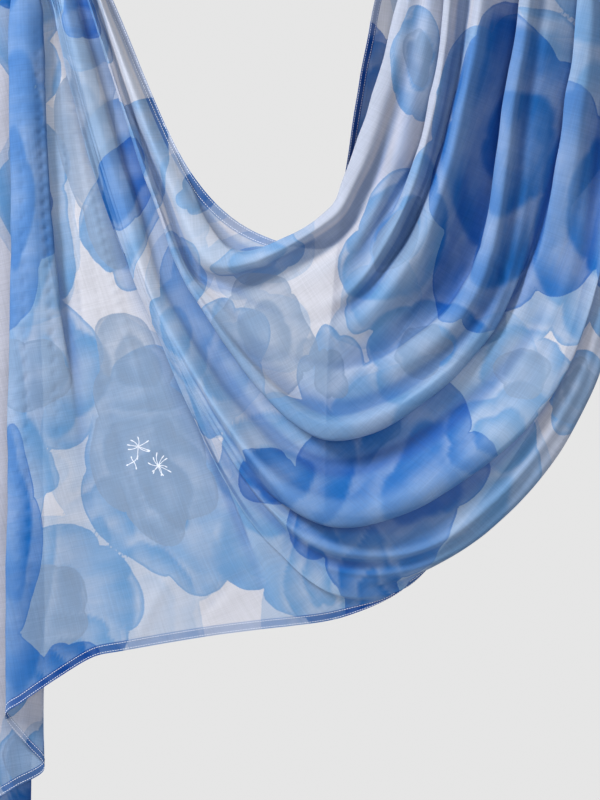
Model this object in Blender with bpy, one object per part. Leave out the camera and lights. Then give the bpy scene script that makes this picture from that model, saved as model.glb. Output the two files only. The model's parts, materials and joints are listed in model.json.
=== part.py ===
"""A long sheer shawl, hung in a deep swag from a pinch on the left and over a bar on the right.

The cloth is one cut rectangle. Every fold is a line that starts at the pinch on the upper hem
and runs to the bar, to the lower hem or to the short left end, as the folds of a hanging cloth do.
The tables below say where each fold line crosses a few section lines, and how far it lifts
towards the viewer there. A smooth surface through the fold lines is the cloth, and each stretch
of it gets a wall of its own. The front faces -Y, and the origin is the pinch.
"""

import bpy
import numpy as np

# Driving sizes, in millimetres.
WALL = 1.0
HEM_WIDTH = 10.0
HEM_WALL = 1.0
# A hem starts this share of its width in from the edge, and never fills more than this share of a row.
HEM_START = 0.05
HEM_MOST = 0.8
SEAM_GAP = 0.3
# A border that two stretches share is pulled in this far, or by this share of a short step.
SEAM_PULL = 0.3
PULL_MOST = 0.4
PINCH_WIDTH = 40.0
PINCH_DEPTH = 0.5
BAR_RADIUS = 24.0
BAR_SQUEEZE = 0.7
BAR_STEP = 6.0
BAR_TURNS = (45, 90, 135, 180)
TAIL_LONG = 650.0
TAIL_SHORT = 110.0
TAIL_SLANT = 80.0
TAIL_BOW = 2.2
TAIL_SPREAD = 0.3
TAIL_SHARES = (0.2, 0.4, 0.7, 1.0)
PLEATS_START = 55.0
PLEATS_FULL = 165.0
SKIRT_LIFT = 4.0
# Points along each fold: from the pinch to the turn of the lower hem, on to the bar, over it, and
# down behind.
PINCH_COLUMNS = 21
FALL_COLUMNS = 14
BAR_COLUMNS = 6
TAIL_COLUMNS = 12

# The chart: x runs right and drop runs down, in millimetres, and the pinch is at this point.
PINCH_X = 40.0
PINCH_DROP = -120.0

# Section lines: start x, start drop, then the direction in which a fold's place is measured.
SECTIONS = {
    "left_top": (0.0, 0.0, 1.0, 0.0),
    "left_neck": (191.0, 179.0, -0.93, 0.37),
    "left_turn": (250.0, 235.0, -0.70, 0.714),
    "left_low": (300.0, 470.0, -0.75, 0.66),
    "low": (330.0, 0.0, 0.0, 1.0),
    "right_low": (400.0, 500.0, 0.6, 0.8),
    "right_turn": (345.0, 180.0, 0.70, 0.714),
    "right_mid": (0.0, 90.0, 1.0, 0.0),
    "bar": (0.0, PINCH_DROP, 1.0, 0.0),
}
# How far the whole cloth stands forward of the pinch at each section.
FORWARD = {
    "left_top": 0.0,
    "left_neck": 0.0,
    "left_turn": 4.0,
    "left_low": 6.0,
    "low": 8.0,
    "right_low": 10.0,
    "right_turn": 12.0,
    "right_mid": 16.0,
    "bar": 24.0,
}

# Each section's share of the way from the pinch to the bar. The lower hem turns behind at HEM_TURN.
MARKS = {
    "left_top": 0.09,
    "left_neck": 0.24,
    "left_turn": 0.36,
    "left_low": 0.46,
    "low": 0.55,
    "hem_turn": 0.60,
    "right_low": 0.62,
    "right_turn": 0.71,
    "right_mid": 0.88,
    "bar": 1.0,
}
HEM_TURN = MARKS["hem_turn"]
# The fan's folds pass a drop of 200 at this share, and their knee is at a drop of 400 at most.
FAN_MARK = 0.23
FAN_DROP = 200.0
FAN_KNEE = 400.0
# Marks on the way over the bar: just before it, and where the cloth has turned down behind.
BAR_LEAD = 0.94
BAR_END = 1.1

# Folds that run from the pinch through the swag to the bar.
# name, place at left_top, left_neck, left_turn, low, right_turn, right_mid, bar,
# lift at the left, left_turn, low, right_turn and right.
SWAG_FOLDS = (
    ("neck_hem", 113, -4, -6, 246, 28, 398, 410, -3, -16, -18, -18, -16),
    ("neck_pocket", 109, 1, 22, 224, 13, 384, 417, -2, -9, -9, -8, -7),
    ("neck_lip", 105.5, 5, 20, 207, -3, 374, 425, 2, 5, 2, 1, 0),
    ("neck_roll", 100, 21, 43, 219, 10, 386, 432, 11, 16, 12, 10, 7),
    ("neck_crease", 96, 29.5, 56, 234, 22, 402, 439, -7, -4, -4, -2, 2),
    ("bowl_top", 94.6, 31.4, 62, 262, 42, 416, 446, -9, -8, 1, 3, 4),
    ("fall_tuck_1", 94.1, 32.4, 64.5, 278, 54, 446, 462, -8.2, -6, 1, -3, -11),
    ("fall_lip_1", 93.6, 33.1, 66, 290, 61, 432, 452, -8, -4, 1, 3, 5),
    ("fall_ridge_1", 93.1, 33.6, 67.2, 302, 69, 438, 459, -7, -3, 2, 11, 12),
    ("fall_valley_1", 92.6, 34.2, 68.4, 315, 82, 452, 476, -5, -1, 0, -6, -7),
    ("fall_ridge_2", 92.1, 34.9, 69.6, 332, 99, 465, 494, -3, 1, 1, 15, 17),
    ("fall_valley_2", 91.6, 35.5, 70.8, 352, 128, 490, 519, -2, 3, -1, -3, -4),
    ("fall_tuck_3", 91.1, 36.1, 72, 368, 157, 513, 545, -1, 5, -1, -10, -13),
    ("fall_lip_3", 90.6, 36.8, 73.2, 376, 163, 505, 536, 0, 6, 0, 7, 7),
    ("fall_ridge_3", 90.1, 37.5, 74.4, 386, 175, 515, 544, 2, 7, 1, 14, 15),
    ("bowl_valley", 89.5, 38.4, 76, 411, 192, 529, 556, 4, 8, 5, 4, 5),
    ("roll_ridge_b", 88.5, 40, 79.5, 426, 204, 540, 566, 6, 9, 22, 6, 4),
    ("roll_lip_b", 86.6, 43, 83, 441, 213, 552, 575, 3, 5, 17, 2, 0),
    ("roll_tuck_b", 88.0, 38.5, 77, 425, 207, 578, 594, -4, -4, 0, -6, -10),
    ("band_b", 83, 50, 93, 452, 226, 567, 582, -6, -6, 0, -2, 6),
    ("crease_b", 79, 57, 104, 467, 243, 583, 593, -5, -5, -2, -3, 13),
    ("roll_top_c", 73, 62, 112, 486, 261, 598, 604, 2, 2, 14, 3, 3),
    ("roll_ridge_c", 64, 71, 121, 511, 283, 611, 614, 7, 8, 32, 10, -7),
    ("roll_lip_c", 60, 77, 124.5, 526, 299, 630, 627, 6, 7, 27, 9, 9),
    ("roll_tuck_c", 59, 78.5, 125.5, 514, 295, 638, 633, 5.5, 7, 6, 2, 5),
    ("band_d", 58, 80, 127, 538, 307, 644, 638, 5, 6, 6, 3, 4),
    ("roll_lip_d", 57, 81, 128, 549, 317, 648, 642, 5, 6, 9, 4, 3),
    ("roll_tuck_d", 56.5, 82, 129, 560, 325, 652, 646, 4.5, 6, -1, 0, 0),
    ("outline", 56, 83, 130, 569, 334, 656, 650, 4, 6, -2, -3, -4),
    ("roll_under_1", 55.5, 84, 131, 574, 336, 651, 641, 4, 5, -3, -12, -9),
    ("roll_under_2", 55, 85, 132, 578.5, 332, 642, 629, 4, 5, -3, -22, -13),
    ("roll_under_3", 54.6, 85.7, 132.8, 583, 323, 630, 618, 4, 5, -3, -31, -15.5),
    ("roll_under_4", 54.2, 86.4, 133.6, 587.5, 310, 620, 610, 4, 5, -3, -37, -17),
    ("lower_hem", 53.8, 87, 134.4, 593, 296, 612, 604, 4, 5, -4, -40, -18),
)

# Where the outer folds cross two more sections: name, left_low and its lift, right_low and its lift.
OUTER_FOLDS = {
    "roll_lip_c": (37, 14, 15, 20),
    "roll_tuck_c": (38.5, 9, 12, 3),
    "band_d": (44, 7, 46, 5),
    "roll_lip_d": (48.5, 8, 57, 7),
    "roll_tuck_d": (51.2, 3, 63, 0),
    "outline": (54, 3, 73, -2),
    "roll_under_1": (56.5, 3, 75.5, -7),
    "roll_under_2": (59, 3, 76.5, -12),
    "roll_under_3": (61.5, 3, 76, -17),
    "roll_under_4": (64, 3, 74, -21),
    "lower_hem": (66.5, 3, 66, -22),
}
# Where the lower hem turns behind, at the right end of what shows of it: x, drop and lift.
HEM_TURN_PLACE = (404, 590, -9)

# The fold between the turn of the lower hem and the fan:
# name, left_top, left_neck, left_turn, left_low, then x, drop and lift of the foot.
SKIRT_FOLDS = (
    ("skirt", 52.8, 87.8, 135.2, 70, 344, 618, -6),
)

# Folds that run down from the pinch to the lower hem, and round the corner up the short left end.
# name, x at left_top, at a drop of 200 and of 400, x and drop of the foot,
# lift at left_top, 200, 400 and the foot.
FAN_FOLDS = (
    ("pleat_lip", 51, 102.5, 189, 289, 627, 3, 5, 4, 0),
    ("pleat_tuck", 60, 113, 194, 280, 628, -7, -6, -3, -1),
    ("panel_a", 50, 101, 180, 262, 630, -8, -7, -4, -1),
    ("panel_b", 47, 88, 150, 215, 636, -7, -6, -3, 0),
    ("panel_c", 44, 72, 118, 165, 644, -7, -6, -2, 1),
    ("panel_d", 41, 58, 90, 120, 652, -7, -6, -1, 2),
    ("front_tuck", 27, 38, 76, 98, 656, -8, -6, 0, 2),
    ("front_lip", 41, 50, 70, 86, 661, 1, 2, 3, 2),
    ("front_ridge", 27, 32, 45, 52, 682, 9, 10, 9, 6),
    ("front_side", 15, 17, 19, 20, 704, 6, 7, 7, 5),
    ("tail_fold_1", 9, 10, 7, 4, 716, 0, 0, 0, 0),
    ("tail_side_1", 22, 25, 28, 26, 748, -9, -10, -11, -12),
    ("tail_fold_2", 30, 36, 41, 43, 771, -13, -15, -17, -19),
    ("tail_side_2", 5, 6, 8, 10, 792, -14, -16, -18, -20),
    ("tail_fold_3", -22, -24, -24, -22, 815, -16, -18, -21, -24),
    ("tail_side_3", 0, 2, 4, 4, 838, -25, -29, -34, -38),
    ("tail_corner", 18, 22, 26, 28, 850, -30, -36, -42, -46),
    ("end_side_1", 0, 2, 6, 8, 800, -32, -38, -44, -49),
    ("end_fold_1", -18, -20, -20, -18, 745, -35, -42, -49, -55),
    ("end_side_2", 2, 4, 6, 6, 680, -42, -51, -60, -66),
    ("end_fold_2", 18, 22, 22, 20, 600, -47, -57, -66, -70),
    ("end_side_3", 0, 2, 2, 2, 510, -49, -60, -70, -74),
    ("end_hem", -14, -18, -20, -20, 410, -52, -64, -74, -76),
)

NAVY = (0.055, 0.14, 0.42, 1.0)
MID_BLUE = (0.18, 0.36, 0.68, 1.0)
PALE_BLUE = (0.42, 0.55, 0.78, 1.0)
LAVENDER = (0.72, 0.74, 0.86, 1.0)
COLOURS = {
    "left_end": MID_BLUE,
    "left_panel": LAVENDER,
    "swag": PALE_BLUE,
    "right_fall": MID_BLUE,
    "back_tail": PALE_BLUE,
}

FAN_NAMES = [row[0] for row in FAN_FOLDS]
# The folds of the fan that belong to its flat panel; the rest make the pleats of the left end.
PANEL_FOLDS = FAN_NAMES.index("panel_d") + 1
SWAG_NAMES = ("left_top", "left_neck", "left_turn", "low", "right_turn", "right_mid", "bar")


def chart_point(x, drop, lift):
    """A chart place in the object's own frame, in millimetres."""
    return (x - PINCH_X, -lift, PINCH_DROP - drop)


def section_point(section, place, lift):
    """The point at this place along a section line, lifted towards the viewer."""
    x, drop, along_x, along_drop = SECTIONS[section]
    forward = FORWARD[section] + lift
    return chart_point(x + place * along_x, drop + place * along_drop, forward)


def swag_fold(row):
    """Marks and points of one fold from the first section to the bar."""
    places, lifts = row[1:8], row[8:]
    lifts = (lifts[0], lifts[0]) + tuple(lifts[1:4]) + (lifts[4], BAR_SQUEEZE * lifts[4])
    fold = {MARKS[name]: section_point(name, *at) for name, *at in zip(SWAG_NAMES, places, lifts)}
    if row[0] in OUTER_FOLDS:
        left, left_lift, right, right_lift = OUTER_FOLDS[row[0]]
        fold[MARKS["left_low"]] = section_point("left_low", left, left_lift)
        fold[MARKS["right_low"]] = section_point("right_low", right, right_lift)
    if row[0] == "lower_hem":
        fold[HEM_TURN] = chart_point(*HEM_TURN_PLACE)
    return fold


def skirt_fold(row):
    """Marks and points of a fold that ends on the lower hem between the turn and the fan."""
    names = ("left_top", "left_neck", "left_turn", "left_low")
    places = zip(names, row[1:5])
    fold = {MARKS[name]: section_point(name, place, SKIRT_LIFT) for name, place in places}
    fold[HEM_TURN] = chart_point(*row[5:])
    return fold


def fan_fold(row):
    """Marks and points of a fold that runs straight down to its foot."""
    foot = row[5]
    knee = min(FAN_KNEE, 0.5 * (FAN_DROP + foot))
    knee_mark = FAN_MARK + (HEM_TURN - FAN_MARK) * (knee - FAN_DROP) / (foot - FAN_DROP)
    marks = (MARKS["left_top"], FAN_MARK, knee_mark, HEM_TURN)
    places = zip(row[1:5], (0.0, FAN_DROP, knee, foot), row[6:])
    return {mark: chart_point(*place) for mark, place in zip(marks, places)}


def smooth_fold(fold, stations):
    """Points at these stations on a smooth curve through the fold's marks, centripetally spaced."""
    marks = sorted(fold)
    points = np.array([fold[mark] for mark in marks], float)
    ring = np.vstack([2 * points[0] - points[1], points, 2 * points[-1] - points[-2]])
    knots = np.concatenate([[0], np.cumsum(np.sqrt(np.linalg.norm(np.diff(ring, axis=0), axis=1)))])
    line = []
    for station in stations:
        i = int(np.clip(np.searchsorted(marks, station, side="right") - 1, 0, len(marks) - 2))
        share = (station - marks[i]) / (marks[i + 1] - marks[i])
        k0, k1, k2, k3 = knots[i : i + 4]
        p0, p1, p2, p3 = ring[i : i + 4]
        t = k1 + (k2 - k1) * share
        a1 = ((k1 - t) * p0 + (t - k0) * p1) / (k1 - k0)
        a2 = ((k2 - t) * p1 + (t - k1) * p2) / (k2 - k1)
        a3 = ((k3 - t) * p2 + (t - k2) * p3) / (k3 - k2)
        b1 = ((k2 - t) * a1 + (t - k0) * a2) / (k2 - k0)
        b2 = ((k3 - t) * a2 + (t - k1) * a3) / (k3 - k1)
        line.append(((k2 - t) * b1 + (t - k1) * b2) / (k2 - k1))
    return np.array(line)


def all_folds():
    """Every fold from the neck hem round to the hem of the left tail, each starting at the pinch."""
    folds = [swag_fold(row) for row in SWAG_FOLDS]
    folds += [skirt_fold(row) for row in SKIRT_FOLDS]
    folds += [fan_fold(row) for row in FAN_FOLDS]
    for i, fold in enumerate(folds):
        fold[0.0] = (PINCH_WIDTH * (0.5 - i / (len(folds) - 1)), 0.0, 0.0)
    return folds


def calmed(lines, ends, start=PLEATS_START, full=PLEATS_FULL):
    """Flattens the pleats close to the pinch, where the gathers are too fine to part."""
    share = np.clip((np.linalg.norm(lines, axis=2) - start) / (full - start), 0, 1)
    share = (share * share * (3 - 2 * share))[:, :, None]
    first, last, order = ends
    order = order[:, None, None]
    even = first * (1 - order) + last * order
    even[:, :, 1] = PINCH_DEPTH * lines[:, :, 1]
    return even + (lines - even) * share


def over_bar(ends, before):
    """The folds carried over the bar and down behind, as marks from 1 at the bar to 2 at the hem."""
    folds = []
    for i, end in enumerate(ends):
        radius = -end[1]
        across = i / (len(ends) - 1)
        drop = TAIL_LONG + (TAIL_SHORT - TAIL_LONG) * across
        fold = {BAR_LEAD: before[i], 1.0: end}
        for turned in BAR_TURNS:
            angle = np.radians(turned)
            shift = -BAR_STEP * (1 - across) * turned / 180
            round_bar = (shift, radius * (1 - np.cos(angle)), radius * np.sin(angle))
            fold[1 + (BAR_END - 1) * turned / 180] = end + round_bar
        back = fold[BAR_END]
        for share in TAIL_SHARES:
            swing = 1 - (1 - share) ** TAIL_BOW
            slant = -TAIL_SLANT * (1 - across) * drop / TAIL_LONG * swing
            depth = BAR_RADIUS + (radius - BAR_RADIUS) * (1.0 + TAIL_SPREAD * share)
            fold[BAR_END + (2 - BAR_END) * share] = (back[0] + slant, depth, -drop * share)
        folds.append(fold)
    return folds


def unit(vectors):
    return vectors / np.maximum(np.linalg.norm(vectors, axis=-1, keepdims=True), 1e-6)


def bend_direction(steps):
    """At each point of a line, the mean of the unit steps before and after it."""
    steps = unit(steps)
    return np.concatenate([steps[:1], steps[:-1] + steps[1:], steps[-1:]])


def normals_of(grid):
    """Unit normals of a grid of points, towards the front, with the steps across squared to the folds."""
    down = unit(bend_direction(np.diff(grid.swapaxes(0, 1), axis=0)).swapaxes(0, 1))
    across = np.diff(grid, axis=0)
    along = unit(down[:-1] + down[1:])
    across = across - along * np.sum(across * along, axis=2, keepdims=True)
    return unit(np.cross(bend_direction(across), down))


def pulled_in(grid, sides):
    """Moves the named borders of a grid inwards along the cloth, which leaves the seam gap."""
    grid = grid.copy()
    moves = {"first": (0, 1), "last": (-1, -2)}
    for side in sides:
        axis, end = side.split("_")
        edge, inner = moves[end]
        rows = grid if axis == "row" else grid.swapaxes(0, 1)
        step = rows[inner] - rows[edge]
        size = np.maximum(np.linalg.norm(step, axis=1, keepdims=True), 1e-6)
        rows[edge] += step / size * np.minimum(SEAM_PULL, PULL_MOST * size)
    return grid


def hem_object(name, edge, inside, normals, inside_normals, colour):
    """The turned-back hem along an edge: a narrow wall on the wrong side, laid from the cloth's points."""
    step = inside - edge
    size = np.maximum(np.linalg.norm(step, axis=1, keepdims=True), 1e-6)
    share = np.minimum(HEM_WIDTH / size, HEM_MOST)
    rows = np.stack([edge + step * HEM_START * share, edge + step * share])
    ways = np.stack([normals, unit(normals * (1 - share) + inside_normals * share)])
    if np.sum(normals_of(rows) * ways) < 0:
        rows, ways = rows[::-1], ways[::-1]
    behind = -(WALL / 2 + SEAM_GAP + HEM_WALL / 2)
    return wall_object(name, rows, ways, HEM_WALL, colour, behind)


def wall_object(name, middle, normals, wall, colour, away=0.0):
    """A closed wall round a grid of points, moved off it along the normals."""
    rows, columns = middle.shape[:2]
    front = middle + normals * (away + wall / 2)
    back = middle + normals * (away - wall / 2)
    points = np.concatenate([front.reshape(-1, 3), back.reshape(-1, 3)]) / 1000.0
    size = rows * columns

    def at(row, column, side):
        return side * size + row * columns + column

    faces = []
    for r in range(rows - 1):
        for c in range(columns - 1):
            quad = (at(r, c, 0), at(r + 1, c, 0), at(r + 1, c + 1, 0), at(r, c + 1, 0))
            falling = np.linalg.norm(middle[r, c] - middle[r + 1, c + 1])
            rising = np.linalg.norm(middle[r + 1, c] - middle[r, c + 1])
            corners = ((0, 1, 2), (0, 2, 3)) if falling < rising else ((0, 1, 3), (1, 2, 3))
            for corner in corners:
                triangle = tuple(quad[i] for i in corner)
                faces.append(triangle)
                faces.append(tuple(i + size for i in reversed(triangle)))
    rim = [(r, 0) for r in range(rows)]
    rim += [(rows - 1, c) for c in range(1, columns)]
    rim += [(r, columns - 1) for r in range(rows - 2, -1, -1)]
    rim += [(0, c) for c in range(columns - 2, 0, -1)]
    for (r1, c1), (r2, c2) in zip(rim, rim[1:] + rim[:1]):
        faces.append((at(r2, c2, 0), at(r1, c1, 0), at(r1, c1, 1), at(r2, c2, 1)))
    mesh = bpy.data.meshes.new(name)
    mesh.from_pydata([tuple(p) for p in points], [], faces)
    mesh.shade_smooth()
    material = bpy.data.materials.new(name + "_cotton")
    material.use_nodes = True
    shader = material.node_tree.nodes["Principled BSDF"]
    shader.inputs["Base Color"].default_value = colour
    shader.inputs["Roughness"].default_value = 0.85
    mesh.materials.append(material)
    part = bpy.data.objects.new(name, mesh)
    bpy.context.scene.collection.objects.link(part)
    return part


for old in list(bpy.data.objects):
    bpy.data.objects.remove(old, do_unlink=True)

folds = all_folds()
swag_count = len(SWAG_FOLDS)
panel_count = swag_count + len(SKIRT_FOLDS) + PANEL_FOLDS
turn = PINCH_COLUMNS - 1

# The pinch side holds every fold as far as the turn of the lower hem. The long side holds the
# swag's folds all the way, over the bar and down behind.
front_stations = np.linspace(0, HEM_TURN, PINCH_COLUMNS)
fall_stations = np.linspace(HEM_TURN, 1, FALL_COLUMNS)
over_stations = np.linspace(1, BAR_END, BAR_COLUMNS)
tail_stations = np.concatenate([over_stations, np.linspace(BAR_END, 2, TAIL_COLUMNS)[1:]])
order = np.linspace(0, 1, len(folds))
pinch_side = np.array([smooth_fold(fold, front_stations) for fold in folds])
pinch_side = calmed(pinch_side, (pinch_side[:1], pinch_side[-1:], order))
fall = np.array([smooth_fold(fold, fall_stations) for fold in folds[:swag_count]])
ends = [np.array(fold[1.0]) for fold in folds[:swag_count]]
before = [smooth_fold(fold, [BAR_LEAD])[0] for fold in folds[:swag_count]]
tail = np.array([smooth_fold(fold, tail_stations) for fold in over_bar(ends, before)])
long_side = np.concatenate([pinch_side[:swag_count], fall[:, 1:], tail[:, 1:]], axis=1)
pinch_normals = normals_of(pinch_side)
long_normals = normals_of(long_side)
pinch_normals[:swag_count, turn] = long_normals[:, turn]
bar = turn + FALL_COLUMNS - 1

# Each stretch of the cloth: its rows of folds, its columns, and the borders it shares with another.
stretches = {
    "left_end": (pinch_side, pinch_normals, slice(panel_count - 1, None), slice(None), ("row_first",)),
    "left_panel": (
        pinch_side,
        pinch_normals,
        slice(swag_count - 1, panel_count),
        slice(None),
        ("row_first", "row_last"),
    ),
    "swag": (pinch_side, pinch_normals, slice(0, swag_count), slice(None), ("row_last", "column_last")),
    "right_fall": (
        long_side,
        long_normals,
        slice(None),
        slice(turn, bar + 1),
        ("column_first", "column_last"),
    ),
    "back_tail": (long_side, long_normals, slice(None), slice(bar, None), ("column_first",)),
}
for name, (grid, normals, rows, columns, shared) in stretches.items():
    cloth = pulled_in(grid[rows, columns], shared)
    wall_object(name, cloth, normals[rows, columns], WALL, COLOURS[name])

# The hems, turned to the wrong side: one along each edge of each stretch that ends in one.
last = len(folds) - 1
corner = FAN_NAMES.index("tail_corner") + swag_count + len(SKIRT_FOLDS)
feet = pinch_side[:, -1], pinch_side[:, -2], pinch_normals[:, -1], pinch_normals[:, -2]
hems = {
    "hem_neck_left": (long_side, long_normals, 0, 1, slice(2, turn - 4)),
    "hem_neck_right": (long_side, long_normals, 0, 1, slice(turn, bar - 3)),
    "hem_tail_side": (long_side, long_normals, 0, 1, slice(bar + 1, -1)),
    "hem_fall": (long_side, long_normals, -1, -2, slice(turn + 4, bar)),
    "hem_tail_short_side": (long_side, long_normals, -1, -2, slice(bar + 1, -1)),
    "hem_left_upper": (pinch_side, pinch_normals, -1, -2, slice(5, -1)),
}
for name, (grid, normals, edge, inside, span) in hems.items():
    lines = grid[edge, span], grid[inside, span], normals[edge, span], normals[inside, span]
    hem_object(name, *lines, NAVY)
hem_object("hem_lower", *(line[swag_count - 1 : corner] for line in feet), NAVY)
hem_object("hem_left_end", *(line[corner + 1 : last] for line in feet), NAVY)
ends_behind = long_side[:, -1], long_side[:, -2], long_normals[:, -1], long_normals[:, -2]
hem_object("hem_tail_end", *(line[1:-1] for line in ends_behind), NAVY)
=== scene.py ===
# %% [markdown]
# # A long sheer shawl, hung in a deep swag
#
# The real object is one rectangle of very thin plain-weave cotton, about 0.78 by 2.05 metres,
# with a turned and stitched hem all round and a watery flower print. It hangs from a pinch on
# its upper hem and from a bar on the right, and its other half falls behind the bar.
#
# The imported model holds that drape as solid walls. This script builds the cloth that shows: a
# thin shell on the same fold lines, with finer creases, a printed sheer weave and real hems.
# A cloth simulation could drape such a rectangle too, but it wouldn't fall into these folds,
# so the fold lines are given as numbers and the cloth is laid over them.

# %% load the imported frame
import json

import bpy
import numpy as np
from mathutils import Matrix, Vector

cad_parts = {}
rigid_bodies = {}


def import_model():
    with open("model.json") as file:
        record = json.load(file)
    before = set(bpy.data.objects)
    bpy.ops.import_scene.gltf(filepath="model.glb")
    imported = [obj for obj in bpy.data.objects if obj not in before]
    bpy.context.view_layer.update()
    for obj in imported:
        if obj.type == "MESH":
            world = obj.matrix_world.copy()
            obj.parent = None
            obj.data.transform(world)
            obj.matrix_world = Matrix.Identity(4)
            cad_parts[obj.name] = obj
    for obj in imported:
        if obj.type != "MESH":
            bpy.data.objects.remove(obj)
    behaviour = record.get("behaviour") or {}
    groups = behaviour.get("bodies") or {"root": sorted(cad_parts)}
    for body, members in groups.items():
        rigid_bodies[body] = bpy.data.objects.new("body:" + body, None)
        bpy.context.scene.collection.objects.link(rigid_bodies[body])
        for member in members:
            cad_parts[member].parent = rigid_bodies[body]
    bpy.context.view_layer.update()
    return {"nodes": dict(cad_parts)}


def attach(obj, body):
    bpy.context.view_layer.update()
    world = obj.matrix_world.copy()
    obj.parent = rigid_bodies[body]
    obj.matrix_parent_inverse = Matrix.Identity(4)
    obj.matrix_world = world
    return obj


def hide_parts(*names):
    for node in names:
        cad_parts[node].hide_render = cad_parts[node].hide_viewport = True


for old in list(bpy.data.objects):
    bpy.data.objects.remove(old, do_unlink=True)
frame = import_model()
print("packed nodes:", sorted(frame["nodes"]))

# %% [markdown]
# ## Sizes
#
# All sizes are millimetres until a mesh is made, and each is given where it is first needed.
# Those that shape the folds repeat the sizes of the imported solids, so that the cloth lies where
# they are. The first two say where the pinch lies on a flat chart of the cloth, seen from the
# front.

# %% place of the pinch
PINCH_X = 40.0
PINCH_DROP = -120.0
print("the pinch lies on the chart at", (PINCH_X, PINCH_DROP), "mm")

# %% [markdown]
# ## Where the folds run
#
# A hanging cloth is shaped by its fold lines. Each line starts at the pinch and runs to the
# bar, to the lower hem or to the short left end. The tables say where each line crosses a few
# section lines and how far it lifts towards the viewer there, as read off the photograph.

# %% fold tables

# Places are on a flat chart seen from the front, in mm: x to the right, and drop downwards.
# Section lines: start x, start drop, then the direction in which a fold's place is measured.
SECTIONS = {
    "left_top": (0.0, 0.0, 1.0, 0.0),
    "left_neck": (191.0, 179.0, -0.93, 0.37),
    "left_turn": (250.0, 235.0, -0.70, 0.714),
    "left_low": (300.0, 470.0, -0.75, 0.66),
    "low": (330.0, 0.0, 0.0, 1.0),
    "right_low": (400.0, 500.0, 0.6, 0.8),
    "right_turn": (345.0, 180.0, 0.70, 0.714),
    "right_mid": (0.0, 90.0, 1.0, 0.0),
    "bar": (0.0, PINCH_DROP, 1.0, 0.0),
}
# How far the whole cloth stands forward of the pinch at each section.
FORWARD = {
    "left_top": 0.0,
    "left_neck": 0.0,
    "left_turn": 4.0,
    "left_low": 6.0,
    "low": 8.0,
    "right_low": 10.0,
    "right_turn": 12.0,
    "right_mid": 16.0,
    "bar": 24.0,
}

# Each section's share of the way from the pinch to the bar. The lower hem turns behind at HEM_TURN.
MARKS = {
    "left_top": 0.09,
    "left_neck": 0.24,
    "left_turn": 0.36,
    "left_low": 0.46,
    "low": 0.55,
    "hem_turn": 0.60,
    "right_low": 0.62,
    "right_turn": 0.71,
    "right_mid": 0.88,
    "bar": 1.0,
}
HEM_TURN = MARKS["hem_turn"]

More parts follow.
